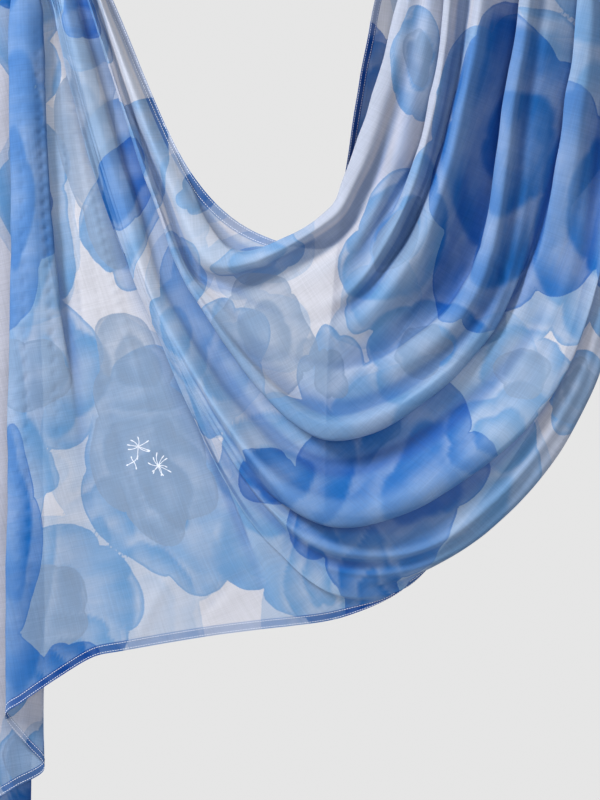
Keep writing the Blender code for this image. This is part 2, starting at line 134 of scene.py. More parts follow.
# Folds that run from the pinch through the swag to the bar.
# name, place at left_top, left_neck, left_turn, low, right_turn, right_mid, bar,
# lift at the left, left_turn, low, right_turn and right.
SWAG_FOLDS = (
    ("neck_hem", 113, -4, -6, 246, 28, 398, 410, -3, -16, -18, -18, -16),
    ("neck_pocket", 109, 1, 22, 224, 13, 384, 417, -2, -9, -9, -8, -7),
    ("neck_lip", 105.5, 5, 20, 207, -3, 374, 425, 2, 5, 2, 1, 0),
    ("neck_roll", 100, 21, 43, 219, 10, 386, 432, 11, 16, 12, 10, 7),
    ("neck_crease", 96, 29.5, 56, 234, 22, 402, 439, -7, -4, -4, -2, 2),
    ("bowl_top", 94.6, 31.4, 62, 262, 42, 416, 446, -9, -8, 1, 3, 4),
    ("fall_tuck_1", 94.1, 32.4, 64.5, 278, 54, 446, 462, -8.2, -6, 1, -3, -11),
    ("fall_lip_1", 93.6, 33.1, 66, 290, 61, 432, 452, -8, -4, 1, 3, 5),
    ("fall_ridge_1", 93.1, 33.6, 67.2, 302, 69, 438, 459, -7, -3, 2, 11, 12),
    ("fall_valley_1", 92.6, 34.2, 68.4, 315, 82, 452, 476, -5, -1, 0, -6, -7),
    ("fall_ridge_2", 92.1, 34.9, 69.6, 332, 99, 465, 494, -3, 1, 1, 15, 17),
    ("fall_valley_2", 91.6, 35.5, 70.8, 352, 128, 490, 519, -2, 3, -1, -3, -4),
    ("fall_tuck_3", 91.1, 36.1, 72, 368, 157, 513, 545, -1, 5, -1, -10, -13),
    ("fall_lip_3", 90.6, 36.8, 73.2, 376, 163, 505, 536, 0, 6, 0, 7, 7),
    ("fall_ridge_3", 90.1, 37.5, 74.4, 386, 175, 515, 544, 2, 7, 1, 14, 15),
    ("bowl_valley", 89.5, 38.4, 76, 411, 192, 529, 556, 4, 8, 5, 4, 5),
    ("roll_ridge_b", 88.5, 40, 79.5, 426, 204, 540, 566, 6, 9, 22, 6, 4),
    ("roll_lip_b", 86.6, 43, 83, 441, 213, 552, 575, 3, 5, 17, 2, 0),
    ("roll_tuck_b", 88.0, 38.5, 77, 425, 207, 578, 594, -4, -4, 0, -6, -10),
    ("band_b", 83, 50, 93, 452, 226, 567, 582, -6, -6, 0, -2, 6),
    ("crease_b", 79, 57, 104, 467, 243, 583, 593, -5, -5, -2, -3, 13),
    ("roll_top_c", 73, 62, 112, 486, 261, 598, 604, 2, 2, 14, 3, 3),
    ("roll_ridge_c", 64, 71, 121, 511, 283, 611, 614, 7, 8, 32, 10, -7),
    ("roll_lip_c", 60, 77, 124.5, 526, 299, 630, 627, 6, 7, 27, 9, 9),
    ("roll_tuck_c", 59, 78.5, 125.5, 514, 295, 638, 633, 5.5, 7, 6, 2, 5),
    ("band_d", 58, 80, 127, 538, 307, 644, 638, 5, 6, 6, 3, 4),
    ("roll_lip_d", 57, 81, 128, 549, 317, 648, 642, 5, 6, 9, 4, 3),
    ("roll_tuck_d", 56.5, 82, 129, 560, 325, 652, 646, 4.5, 6, -1, 0, 0),
    ("outline", 56, 83, 130, 569, 334, 656, 650, 4, 6, -2, -3, -4),
    ("roll_under_1", 55.5, 84, 131, 574, 336, 651, 641, 4, 5, -3, -12, -9),
    ("roll_under_2", 55, 85, 132, 578.5, 332, 642, 629, 4, 5, -3, -22, -13),
    ("roll_under_3", 54.6, 85.7, 132.8, 583, 323, 630, 618, 4, 5, -3, -31, -15.5),
    ("roll_under_4", 54.2, 86.4, 133.6, 587.5, 310, 620, 610, 4, 5, -3, -37, -17),
    ("lower_hem", 53.8, 87, 134.4, 593, 296, 612, 604, 4, 5, -4, -40, -18),
)

# Where the outer folds cross two more sections:
# name, left_low and its lift, right_low and its lift.
OUTER_FOLDS = {
    "roll_lip_c": (37, 14, 15, 20),
    "roll_tuck_c": (38.5, 9, 12, 3),
    "band_d": (44, 7, 46, 5),
    "roll_lip_d": (48.5, 8, 57, 7),
    "roll_tuck_d": (51.2, 3, 63, 0),
    "outline": (54, 3, 73, -2),
    "roll_under_1": (56.5, 3, 75.5, -7),
    "roll_under_2": (59, 3, 76.5, -12),
    "roll_under_3": (61.5, 3, 76, -17),
    "roll_under_4": (64, 3, 74, -21),
    "lower_hem": (66.5, 3, 66, -22),
}
# Where the lower hem turns behind, at the right end of what shows of it: x, drop and lift.
HEM_TURN_PLACE = (404, 590, -9)

# The fold between the turn of the lower hem and the fan:
# name, left_top, left_neck, left_turn, left_low, then x, drop and lift of the foot.
SKIRT_FOLDS = (
    ("skirt", 52.8, 87.8, 135.2, 70, 344, 618, -6),
)

# Folds that run down from the pinch to the lower hem, and round the corner up the short left end.
# name, x at left_top, at a drop of 200 and of 400, x and drop of the foot,
# lift at left_top, 200, 400 and the foot.
FAN_FOLDS = (
    ("pleat_lip", 51, 102.5, 189, 289, 627, 3, 5, 4, 0),
    ("pleat_tuck", 60, 113, 194, 280, 628, -7, -6, -3, -1),
    ("panel_a", 50, 101, 180, 262, 630, -8, -7, -4, -1),
    ("panel_b", 47, 88, 150, 215, 636, -7, -6, -3, 0),
    ("panel_c", 44, 72, 118, 165, 644, -7, -6, -2, 1),
    ("panel_d", 41, 58, 90, 120, 652, -7, -6, -1, 2),
    ("front_tuck", 27, 38, 76, 98, 656, -8, -6, 0, 2),
    ("front_lip", 41, 50, 70, 86, 661, 1, 2, 3, 2),
    ("front_ridge", 27, 32, 45, 52, 682, 9, 10, 9, 6),
    ("front_side", 15, 17, 19, 20, 704, 6, 7, 7, 5),
    ("tail_fold_1", 9, 10, 7, 4, 716, 0, 0, 0, 0),
    ("tail_side_1", 22, 25, 28, 26, 748, -9, -10, -11, -12),
    ("tail_fold_2", 30, 36, 41, 43, 771, -13, -15, -17, -19),
    ("tail_side_2", 5, 6, 8, 10, 792, -14, -16, -18, -20),
    ("tail_fold_3", -22, -24, -24, -22, 815, -16, -18, -21, -24),
    ("tail_side_3", 0, 2, 4, 4, 838, -25, -29, -34, -38),
    ("tail_corner", 18, 22, 26, 28, 850, -30, -36, -42, -46),
    ("end_side_1", 0, 2, 6, 8, 800, -32, -38, -44, -49),
    ("end_fold_1", -18, -20, -20, -18, 745, -35, -42, -49, -55),
    ("end_side_2", 2, 4, 6, 6, 680, -42, -51, -60, -66),
    ("end_fold_2", 18, 22, 22, 20, 600, -47, -57, -66, -70),
    ("end_side_3", 0, 2, 2, 2, 510, -49, -60, -70, -74),
    ("end_hem", -14, -18, -20, -20, 410, -52, -64, -74, -76),
)

# %% [markdown]
# ## Smooth lines through the tables
#
# Every fold keeps its points at the same shares of the way, so neighbouring folds line up
# point by point and the cloth between them cannot twist. The curve through the points is
# spaced by the square root of their distances, which keeps it from swinging out at long gaps.

# %% points of each fold
SWAG_NAMES = ("left_top", "left_neck", "left_turn", "low", "right_turn", "right_mid", "bar")
BAR_SQUEEZE = 0.7
SKIRT_LIFT = 4.0
FAN_MARK = 0.23
FAN_DROP = 200.0
FAN_KNEE = 400.0


def chart_point(x, drop, lift):
    """A chart place in the object's own frame."""
    return (x - PINCH_X, -lift, PINCH_DROP - drop)


def section_point(section, place, lift):
    """The point at this place along a section line, lifted towards the viewer."""
    x, drop, along_x, along_drop = SECTIONS[section]
    forward = FORWARD[section] + lift
    return chart_point(x + place * along_x, drop + place * along_drop, forward)


def swag_fold(row):
    """Marks and points of one fold from the first section to the bar."""
    places, lifts = row[1:8], row[8:]
    lifts = (lifts[0], lifts[0]) + tuple(lifts[1:4]) + (lifts[4], BAR_SQUEEZE * lifts[4])
    fold = {MARKS[name]: section_point(name, *at) for name, *at in zip(SWAG_NAMES, places, lifts)}
    if row[0] in OUTER_FOLDS:
        left, left_lift, right, right_lift = OUTER_FOLDS[row[0]]
        fold[MARKS["left_low"]] = section_point("left_low", left, left_lift)
        fold[MARKS["right_low"]] = section_point("right_low", right, right_lift)
    if row[0] == "lower_hem":
        fold[HEM_TURN] = chart_point(*HEM_TURN_PLACE)
    return fold


def skirt_fold(row):
    """Marks and points of a fold that ends on the lower hem between the turn and the fan."""
    names = ("left_top", "left_neck", "left_turn", "left_low")
    places = zip(names, row[1:5])
    fold = {MARKS[name]: section_point(name, place, SKIRT_LIFT) for name, place in places}
    fold[HEM_TURN] = chart_point(*row[5:])
    return fold


def fan_fold(row):
    """Marks and points of a fold that runs straight down to its foot."""
    foot = row[5]
    knee = min(FAN_KNEE, 0.5 * (FAN_DROP + foot))
    knee_mark = FAN_MARK + (HEM_TURN - FAN_MARK) * (knee - FAN_DROP) / (foot - FAN_DROP)
    marks = (MARKS["left_top"], FAN_MARK, knee_mark, HEM_TURN)
    places = zip(row[1:5], (0.0, FAN_DROP, knee, foot), row[6:])
    return {mark: chart_point(*place) for mark, place in zip(marks, places)}


# %% smooth curve through a fold
def smooth_fold(fold, stations):
    """Points at these stations on a smooth curve through the fold's marks."""
    marks = np.array(sorted(fold))
    points = np.array([fold[mark] for mark in marks], float)
    ring = np.vstack([2 * points[0] - points[1], points, 2 * points[-1] - points[-2]])
    gaps = np.sqrt(np.linalg.norm(np.diff(ring, axis=0), axis=1))
    knots = np.concatenate([[0], np.cumsum(gaps)])
    i = np.clip(np.searchsorted(marks, stations, side="right") - 1, 0, len(marks) - 2)
    share = (stations - marks[i]) / (marks[i + 1] - marks[i])
    k0, k1, k2, k3 = (knots[i + n][:, None] for n in range(4))
    p0, p1, p2, p3 = (ring[i + n] for n in range(4))
    t = k1 + (k2 - k1) * share[:, None]
    a1 = ((k1 - t) * p0 + (t - k0) * p1) / (k1 - k0)
    a2 = ((k2 - t) * p1 + (t - k1) * p2) / (k2 - k1)
    a3 = ((k3 - t) * p2 + (t - k2) * p3) / (k3 - k2)
    b1 = ((k2 - t) * a1 + (t - k0) * a2) / (k2 - k0)
    b2 = ((k3 - t) * a2 + (t - k1) * a3) / (k3 - k1)
    return ((k2 - t) * b1 + (t - k1) * b2) / (k2 - k1)


# %% all folds
PINCH_WIDTH = 40.0


def all_folds():
    """Every fold from the neck hem round to the hem of the left tail, each from the pinch."""
    folds = [swag_fold(row) for row in SWAG_FOLDS]
    folds += [skirt_fold(row) for row in SKIRT_FOLDS]
    folds += [fan_fold(row) for row in FAN_FOLDS]
    for i, fold in enumerate(folds):
        fold[0.0] = (PINCH_WIDTH * (0.5 - i / (len(folds) - 1)), 0.0, 0.0)
    return folds


folds = all_folds()
swag_count = len(SWAG_FOLDS)
print("fold lines:", len(folds), "of which", swag_count, "cross the swag")

# %% [markdown]
# ## Over the bar and down behind
#
# The real cloth bends over the bar in a half circle and hangs down behind it, a little wider
# than it goes over. Its near edge is drawn inwards as it falls. Each fold is carried on in the
# same way: four points round the bar, then four down the back. Another way would be to bend
# a flat copy with a modifier, but then the folds on both sides of the bar wouldn't meet.

# %% folds over the bar
BAR_RADIUS = 24.0
BAR_LEAD = 0.94
BAR_STEP = 6.0
BAR_TURNS = (45, 90, 135, 180)
BAR_END = 1.1
TAIL_LONG = 650.0
TAIL_SHORT = 110.0
TAIL_SLANT = 80.0
TAIL_BOW = 2.2
TAIL_SPREAD = 0.3
TAIL_SHARES = (0.2, 0.4, 0.7, 1.0)


def over_bar(ends, before):
    """The folds carried over the bar and down behind, as marks from 1 at the bar to 2 below."""
    folds = []
    for i, end in enumerate(ends):
        radius = -end[1]
        across = i / (len(ends) - 1)
        drop = TAIL_LONG + (TAIL_SHORT - TAIL_LONG) * across
        fold = {BAR_LEAD: before[i], 1.0: end}
        for turned in BAR_TURNS:
            angle = np.radians(turned)
            shift = -BAR_STEP * (1 - across) * turned / 180
            round_bar = (shift, radius * (1 - np.cos(angle)), radius * np.sin(angle))
            fold[1 + (BAR_END - 1) * turned / 180] = end + round_bar
        back = fold[BAR_END]
        for share in TAIL_SHARES:
            swing = 1 - (1 - share) ** TAIL_BOW
            slant = -TAIL_SLANT * (1 - across) * drop / TAIL_LONG * swing
            depth = BAR_RADIUS + (radius - BAR_RADIUS) * (1.0 + TAIL_SPREAD * share)
            fold[BAR_END + (2 - BAR_END) * share] = (back[0] + slant, depth, -drop * share)
        folds.append(fold)
    return folds


# %% [markdown]
# ## The gathered pinch
#
# Where the upper hem is pinched, all the folds come together within four centimetres. The
# first stretch of every line is eased towards an even spread, because lines this close would
# cross. The fine gathers that the real cloth has there are added later, as low ridges.

# %% calm lines near the pinch
PINCH_DEPTH = 0.5
PLEATS_START = 48.0
PLEATS_FULL = 135.0


def calmed(lines, first, last, order):
    """Flattens the pleats close to the pinch, where the gathers are too fine to part."""
    away = np.linalg.norm(lines, axis=2)
    share = np.clip((away - PLEATS_START) / (PLEATS_FULL - PLEATS_START), 0, 1)
    share = (share * share * (3 - 2 * share))[:, :, None]
    order = order[:, None, None]
    even = first * (1 - order) + last * order
    even[:, :, 1] = PINCH_DEPTH * lines[:, :, 1]
    return even + (lines - even) * share


# %% fold lines
PINCH_COLUMNS = 201
FALL_COLUMNS = 161
BAR_COLUMNS = 25
TAIL_COLUMNS = 141

turn = PINCH_COLUMNS - 1
bar = turn + FALL_COLUMNS - 1
front_stations = np.linspace(0, HEM_TURN, PINCH_COLUMNS)
fall_stations = np.linspace(HEM_TURN, 1, FALL_COLUMNS)
tail_stations = np.concatenate(
    [np.linspace(1, BAR_END, BAR_COLUMNS), np.linspace(BAR_END, 2, TAIL_COLUMNS)[1:]]
)
pinch_lines = np.array([smooth_fold(fold, front_stations) for fold in folds])
pinch_lines = calmed(pinch_lines, pinch_lines[:1], pinch_lines[-1:], np.linspace(0, 1, len(folds)))
fall_lines = np.array([smooth_fold(fold, fall_stations) for fold in folds[:swag_count]])
bar_ends = [np.array(fold[1.0]) for fold in folds[:swag_count]]
bar_leads = [smooth_fold(fold, np.array([BAR_LEAD]))[0] for fold in folds[:swag_count]]
tail_lines = np.array([smooth_fold(fold, tail_stations) for fold in over_bar(bar_ends, bar_leads)])
long_parts = [pinch_lines[:swag_count], fall_lines[:, 1:], tail_lines[:, 1:]]
long_lines = np.concatenate(long_parts, axis=1)
print("points on a long fold:", long_lines.shape[1], "and on a short one:", pinch_lines.shape[1])

# %% [markdown]
# ## The cloth between the fold lines
#
# Cloth bends in round ridges and valleys, not in straight facets, so the rows between two
# folds lie on a cubic that takes its slope from the folds on either side. A subdivision
# surface would round the folds as well, but it draws them in and leaves the solids behind.
# The whole cloth is one grid. Its last rows stop at the lower hem, and only the swag's rows
# run on to the bar.

# %% rows across the folds
def unit(vectors):
    return vectors / np.maximum(np.linalg.norm(vectors, axis=-1, keepdims=True), 1e-6)


def across_folds(lines, steps):
    """Rows of points across the folds, on a cubic with this many steps from fold to fold."""
    ahead = 2 * lines[-1:] - lines[-2:-1]
    padded = np.concatenate([2 * lines[:1] - lines[1:2], lines, ahead])
    gaps = np.sqrt(np.linalg.norm(np.diff(padded, axis=0), axis=2, keepdims=True)) + 1e-6
    rows = [lines[0]]
    for i in range(len(lines) - 1):
        before, here, after = gaps[i], gaps[i + 1], gaps[i + 2]
        p0, p1, p2, p3 = padded[i : i + 4]
        start = ((p1 - p0) / before - (p2 - p0) / (before + here) + (p2 - p1) / here) * here
        end = ((p2 - p1) / here - (p3 - p1) / (here + after) + (p3 - p2) / after) * here
        for t in np.arange(1, steps[i] + 1) / steps[i]:
            rise = 3 * t**2 - 2 * t**3
            slopes = (t**3 - 2 * t**2 + t) * start + (t**3 - t**2) * end
            rows.append((1 - rise) * p1 + rise * p2 + slopes)
    return np.array(rows)


def widest_gaps(lines):
    return np.linalg.norm(np.diff(lines, axis=0), axis=2).max(axis=1)


# %% cloth grid
ROW_PITCH = 3.4
MOST_STEPS = 14
SETTLE_COLUMNS = 6.0

gaps = widest_gaps(pinch_lines)
gaps[: swag_count - 1] = np.maximum(gaps[: swag_count - 1], widest_gaps(long_lines))
steps = np.clip(np.ceil(gaps / ROW_PITCH), 2, MOST_STEPS).astype(int)
row_of = np.concatenate([[0], np.cumsum(steps)])
swag_rows = row_of[swag_count - 1] + 1
pinch_grid = across_folds(pinch_lines, steps)
long_grid = across_folds(long_lines, steps[: swag_count - 1])
settle = np.exp(-np.arange(long_grid.shape[1] - turn) / SETTLE_COLUMNS)[None, :, None]
long_grid[:, turn:] += (pinch_grid[:swag_rows, turn] - long_grid[:, turn])[:, None] * settle
rows_total, columns_total = len(pinch_grid), long_grid.shape[1]
cloth = np.zeros((rows_total, columns_total, 3))
cloth[:, : turn + 1] = pinch_grid
cloth[:swag_rows, turn:] = long_grid[:, turn:]
present = np.zeros((rows_total, columns_total), bool)
present[:, : turn + 1] = True
present[:swag_rows] = True
print("cloth grid:", rows_total, "rows by", columns_total, "columns")

# %% [markdown]
# ## Which way the cloth faces
#
# The normals shade the cloth, and they say which way a crease, a hem or a stitch stands out.
# Blender could work them out for each mesh, but the stretches would then shade apart where
# they meet. They are worked out here once, for the whole cloth.

# %% normals
def bend_direction(line_steps):
    """At each point of a line, the mean of the unit steps before and after it."""
    line_steps = unit(line_steps)
    return np.concatenate([line_steps[:1], line_steps[:-1] + line_steps[1:], line_steps[-1:]])


def normals_of(grid):
    """Unit normals of a grid, towards the front of the cloth and at right angles to its folds."""
    down = unit(bend_direction(np.diff(grid.swapaxes(0, 1), axis=0)).swapaxes(0, 1))
    across = np.diff(grid, axis=0)
    along = unit(down[:-1] + down[1:])
    across = across - along * np.sum(across * along, axis=2, keepdims=True)
    return unit(np.cross(bend_direction(across), down))


def cloth_normals():
    """The normals of the whole cloth, equal where its long side joins its pinch side."""
    normals = np.zeros_like(cloth)
    normals[:, : turn + 1] = normals_of(cloth[:, : turn + 1])
    long_side = normals_of(cloth[:swag_rows])
    normals[:swag_rows, turn:] = long_side[:, turn:]
    return normals


normals = cloth_normals()
forward = float((normals[present][:, 1] < 0).mean())
print("share of the cloth whose right side faces the viewer:", round(forward, 2))

# %% [markdown]
# ## The cloth laid flat
#
# A print and a weave belong to the flat cloth, so each point needs its place on the cut
# rectangle. A coarse copy of the grid is unwrapped with the least stretch, turned so that the
# upper hem runs along it, and scaled to its true size. The fine grid reads its places off it.
# Projecting the print from the front would be simpler, but it would smear on every fold side.

# %% least-stretch unwrap
FLAT_COLUMN_STEP = 10
UNWRAP_TURNS = 30


def coarse_lines():
    """Row and column numbers of the coarse copy, which keep every fold and every border."""
    rows = np.unique(np.concatenate([row_of, (row_of[:-1] + row_of[1:]) // 2]))
    marks = (turn, bar, columns_total - 1)
    columns = np.unique(np.concatenate([np.arange(0, columns_total, FLAT_COLUMN_STEP), marks]))
    return rows, columns


def unwrapped(points, here):
    """Flat places of a grid of points, from Blender's least-stretch unwrap of its faces."""
    number = np.full(here.shape, -1)
    number[here] = np.arange(here.sum())
    corners = np.stack([number[:-1, :-1], number[1:, :-1], number[1:, 1:], number[:-1, 1:]], axis=2)
    quads = corners[(corners >= 0).all(axis=2)]
    mesh = bpy.data.meshes.new("flat_cut")
    mesh.from_pydata((points[here] * 0.001).tolist(), [], quads.tolist())
    pattern = bpy.data.objects.new("flat_cut", mesh)
    bpy.context.scene.collection.objects.link(pattern)
    bpy.context.view_layer.objects.active = pattern
    for other in bpy.context.selected_objects:
        other.select_set(False)
    pattern.select_set(True)
    bpy.ops.object.mode_set(mode="EDIT")
    bpy.ops.mesh.select_all(action="SELECT")
    bpy.ops.uv.unwrap(method="MINIMUM_STRETCH", iterations=UNWRAP_TURNS, margin=0.0)
    bpy.ops.object.mode_set(mode="OBJECT")
    places = np.zeros((here.sum(), 2))
    vertex_of = np.zeros(len(mesh.loops), int)
    mesh.loops.foreach_get("vertex_index", vertex_of)
    uv = np.zeros(len(mesh.loops) * 2)
    mesh.uv_layers.active.data.foreach_get("uv", uv)
    places[vertex_of] = uv.reshape(-1, 2)
    bpy.data.objects.remove(pattern, do_unlink=True)
    bpy.data.meshes.remove(mesh)
    flat = np.zeros(here.shape + (2,))
    flat[here] = places
    return flat


def spread(coarse, rows, columns):
    """A coarse grid's values at every row and column of the fine one."""
    every_row, every_column = np.arange(rows_total), np.arange(columns_total)
    fine = []
    for k in (0, 1):
        wide = np.array([np.interp(every_column, columns, line[:, k]) for line in coarse])
        fine.append([np.interp(every_row, rows, wide[:, c]) for c in every_column])
    return np.array(fine).transpose(2, 1, 0)


# %% flat places
def flat_cloth():
    """The whole cloth's flat places in millimetres, with the pinch at 0, 0."""
    rows, columns = coarse_lines()
    points = cloth[np.ix_(rows, columns)]
    here = present[np.ix_(rows, columns)]
    flat = unwrapped(points, here)
    both = here[:-1] & here[1:]
    real = np.linalg.norm(np.diff(points, axis=0), axis=2)[both]
    laid = np.linalg.norm(np.diff(flat, axis=0), axis=2)[both]
    flat *= real.sum() / laid.sum()
    bar_column = list(columns).index(bar)
    upper = flat[0, bar_column] - flat[0, bar_column // 2]
    x, y = upper / np.linalg.norm(upper)
    flat = (flat - flat[0, 0]) @ np.array([[x, -y], [y, x]])
    if flat[list(rows).index(swag_rows - 1), bar_column // 2, 1] > 0:
        flat[:, :, 1] *= -1
    # Beyond the lower hem there is no cloth: those places repeat the last ones that exist.
    for r in range(len(rows)):
        last_here = np.flatnonzero(here[r])[-1]
        flat[r, last_here + 1 :] = flat[r, last_here]
    return spread(flat, rows, columns)


flat = flat_cloth()
shown = flat[present]
print("flat cloth spans", np.round(shown.min(axis=0)), "to", np.round(shown.max(axis=0)), "mm")

# %% [markdown]
# ## Creases and slack
#
# Thin cotton carries soft creases between its large folds: fine gathers that fan out of the
# pinch, drag lines in the bowl of the swag, and a few that run down the hanging parts. Each
# row of the table is one trough or ridge on a curve through three chart places. They could be
# sculpted by brush, but a table can be read and changed. A slow unevenness on top of them
# stands for the slack that no cloth is free of.

# %% crease table
# name, side, folds it may touch, width, height, then x and drop of its start, middle and end.
CREASES = (
    ("bowl_drag_1", "front", "bowl_top", "bowl_valley", 5, -1.6, 196, 232, 250, 300, 330, 322),
    ("bowl_drag_2", "front", "fall_valley_1", "roll_ridge_b", 6, -1.8, 214, 276, 268, 345, 352, 366),
    ("bowl_drag_3", "front", "bowl_valley", "roll_ridge_b", 6, 1.5, 230, 330, 276, 392, 350, 404),
    ("bowl_drag_4", "front", "crease_b", "roll_ridge_c", 6, -1.6, 240, 420, 300, 482, 372, 488),
    ("bowl_drag_5", "front", "band_d", "outline", 8, -1.8, 252, 500, 306, 560, 398, 560),
    ("bowl_drag_6", "front", "band_d", "outline", 7, 1.4, 236, 520, 292, 582, 372, 588),
    ("neck_twist_1", "front", "neck_hem", "neck_crease", 4, -1.4, 176, 158, 206, 214, 250, 246),
    ("neck_twist_2", "front", "neck_lip", "bowl_top", 5, 1.6, 196, 214, 232, 252, 286, 268),
    ("neck_twist_3", "front", "neck_lip", "bowl_top", 4, -1.3, 300, 262, 340, 236, 372, 196),
    ("fall_drag_1", "front", "fall_valley_1", "bowl_valley", 6, -2.0, 396, 330, 448, 262, 470, 150),
    ("fall_drag_2", "front", "bowl_valley", "band_b", 6, -1.8, 452, 372, 512, 288, 536, 150),
    ("fall_drag_3", "front", "band_b", "roll_ridge_c", 7, 1.8, 470, 420, 546, 330, 588, 190),
    ("fall_drag_4", "front", "roll_ridge_c", "outline", 7, -2.0, 480, 500, 566, 400, 612, 262),
    ("fall_drag_5", "front", "fall_valley_1", "bowl_valley", 5, 1.6, 400, 300, 428, 240, 446, 120),
    ("fall_cross_1", "front", "fall_valley_2", "roll_ridge_b", 5, -1.2, 470, 240, 500, 270, 520, 330),
    ("fall_cross_2", "front", "fall_ridge_1", "bowl_valley", 5, -1.2, 430, 210, 462, 250, 474, 300),
    ("panel_line_1", "front", "pleat_tuck", "panel_d", 3, -0.8, 66, 60, 92, 260, 128, 470),
    ("panel_line_2", "front", "pleat_tuck", "panel_d", 3, 0.8, 78, 90, 120, 300, 178, 520),
    ("panel_line_3", "front", "pleat_tuck", "panel_d", 5, -1.3, 90, 330, 150, 520, 236, 622),
    ("panel_line_4", "front", "pleat_tuck", "panel_d", 6, 1.4, 120, 470, 190, 560, 262, 600),
    ("panel_line_5", "front", "pleat_tuck", "panel_d", 5, -1.2, 72, 430, 86, 540, 104, 640),
    ("panel_pull_1", "front", "pleat_tuck", "panel_d", 7, -1.4, 196, 628, 214, 600, 250, 572),
    ("panel_pull_2", "front", "pleat_tuck", "panel_d", 7, 1.3, 140, 640, 150, 610, 176, 570),
    ("pleat_line_1", "front", "front_lip", "front_ridge", 3, -1.7, 36, 10, 46, 240, 64, 520),
    ("pleat_line_2", "front", "front_lip", "front_ridge", 3, 1.6, 31, 60, 38, 340, 54, 620),
    ("pleat_line_3", "front", "front_ridge", "tail_fold_1", 3, -1.8, 19, 10, 24, 330, 32, 650),
    ("pleat_line_4", "front", "front_ridge", "tail_fold_1", 2.5, 1.4, 14, 100, 15, 380, 20, 680),
    ("pleat_line_5", "front", "pleat_tuck", "panel_d", 3, -1.2, 50, 10, 70, 200, 86, 380),
    ("pleat_line_6", "front", "pleat_tuck", "panel_d", 3.5, 1.3, 60, 30, 100, 240, 160, 440),
    ("end_line_1", "front", "tail_side_1", "tail_fold_3", 5, -1.6, 8, 300, 14, 520, 16, 760),
    ("end_line_2", "front", "tail_fold_3", "end_fold_1", 6, 1.6, 2, 200, 6, 480, 10, 740),
    ("end_line_3", "front", "end_side_1", "end_hem", 6, -1.8, 4, 180, 4, 360, 8, 560),
    ("behind_1", "behind", "neck_hem", "bowl_valley", 7, -2.4, 430, -90, 416, 130, 384, 420),
    ("behind_2", "behind", "neck_hem", "bowl_valley", 6, 2.0, 462, -80, 446, 60, 428, 280),
    ("behind_3", "behind", "bowl_top", "band_b", 8, -2.6, 500, -90, 490, 40, 470, 190),
    ("behind_4", "behind", "bowl_valley", "outline", 7, -2.2, 560, -90, 552, -10, 540, 100),
    ("behind_5", "behind", "bowl_valley", "lower_hem", 6, 1.8, 600, -90, 596, -40, 590, 10),
    ("behind_6", "behind", "neck_hem", "bowl_valley", 6, -1.6, 372, 120, 380, 260, 366, 480),
    ("behind_7", "behind", "neck_hem", "band_b", 8, 2.0, 400, 20, 440, 120, 462, 230),
)

# %% creases
CREASE_STEPS = 41
CREASE_FADE = 0.7
CREASE_BORDER = (-1, 4)

fold_names = [row[0] for row in SWAG_FOLDS + SKIRT_FOLDS + FAN_FOLDS]
column_number = np.broadcast_to(np.arange(columns_total), present.shape)
row_number = np.broadcast_to(np.arange(rows_total)[:, None], present.shape)
chart = np.stack([cloth[:, :, 0] + PINCH_X, PINCH_DROP - cloth[:, :, 2]], axis=2)


def smooth_step(value, low, high):
    share = np.clip((value - low) / (high - low), 0, 1)
    return share * share * (3 - 2 * share)


def crease_lift(row):
    """How far one crease moves each point of the cloth along its normal."""
    side, first, last, width, height = row[1:6]
    start, middle, end = (np.array(row[k : k + 2], float) for k in (6, 8, 10))
    rows = slice(row_of[fold_names.index(first)], row_of[fold_names.index(last)] + 1)
    columns = slice(0, bar) if side == "front" else slice(bar, None)
    places = chart[rows, columns]
    nearest = np.full(places.shape[:2], 1e9)
    share = np.zeros(places.shape[:2])
    for t in np.linspace(0, 1, CREASE_STEPS):
        bend = 2 * middle - 0.5 * (start + end)
        point = (1 - t) ** 2 * start + 2 * t * (1 - t) * bend + t * t * end
        away = np.linalg.norm(places - point, axis=2)
        closer = away < nearest
        nearest[closer] = away[closer]
        share[closer] = t
    fade = np.sin(np.pi * np.clip(share, 0, 1)) ** CREASE_FADE
    lift = np.zeros(present.shape)
    inward = row_number[rows, columns]
    border = np.minimum(inward - rows.start, rows.stop - 1 - inward)
    border = smooth_step(border, *CREASE_BORDER)
    lift[rows, columns] = height * np.exp(-((nearest / width) ** 2)) * fade * border
    return lift


# %% slack and gathers
SLACK_HEIGHT = 0.55
SLACK_WAVES = 26
SLACK_LENGTHS = (28, 110)
SLACK_FULL_LENGTH = 90
SLACK_SEED = 7
SLACK_FADE = (60, 200)
GATHER_HEIGHT = 1.3
GATHER_START = (8, 45)
GATHER_END = (150, 85)


def slack():
    """A slow, seeded unevenness in the flat cloth."""
    chance = np.random.default_rng(SLACK_SEED)
    total = np.zeros(present.shape)
    for _ in range(SLACK_WAVES):
        length = chance.uniform(*SLACK_LENGTHS)
        angle = chance.uniform(0, np.pi)
        wave = flat @ (np.array([np.cos(angle), np.sin(angle)]) * 2 * np.pi / length)
        total += np.sin(wave + chance.uniform(0, 2 * np.pi)) * length / SLACK_FULL_LENGTH
    return total * SLACK_HEIGHT / np.sqrt(SLACK_WAVES / 2)


def gathers():
    """Fine pleats at the pinch, one ridge to every other fold, which open out further down."""
    number = np.interp(np.arange(rows_total), row_of, np.arange(len(row_of)))
    wave = np.cos(np.pi * number)[:, None] * np.ones(columns_total)
    near = smooth_step(away_from_pinch, *GATHER_START) * smooth_step(away_from_pinch, *GATHER_END)
    return GATHER_HEIGHT * wave * near


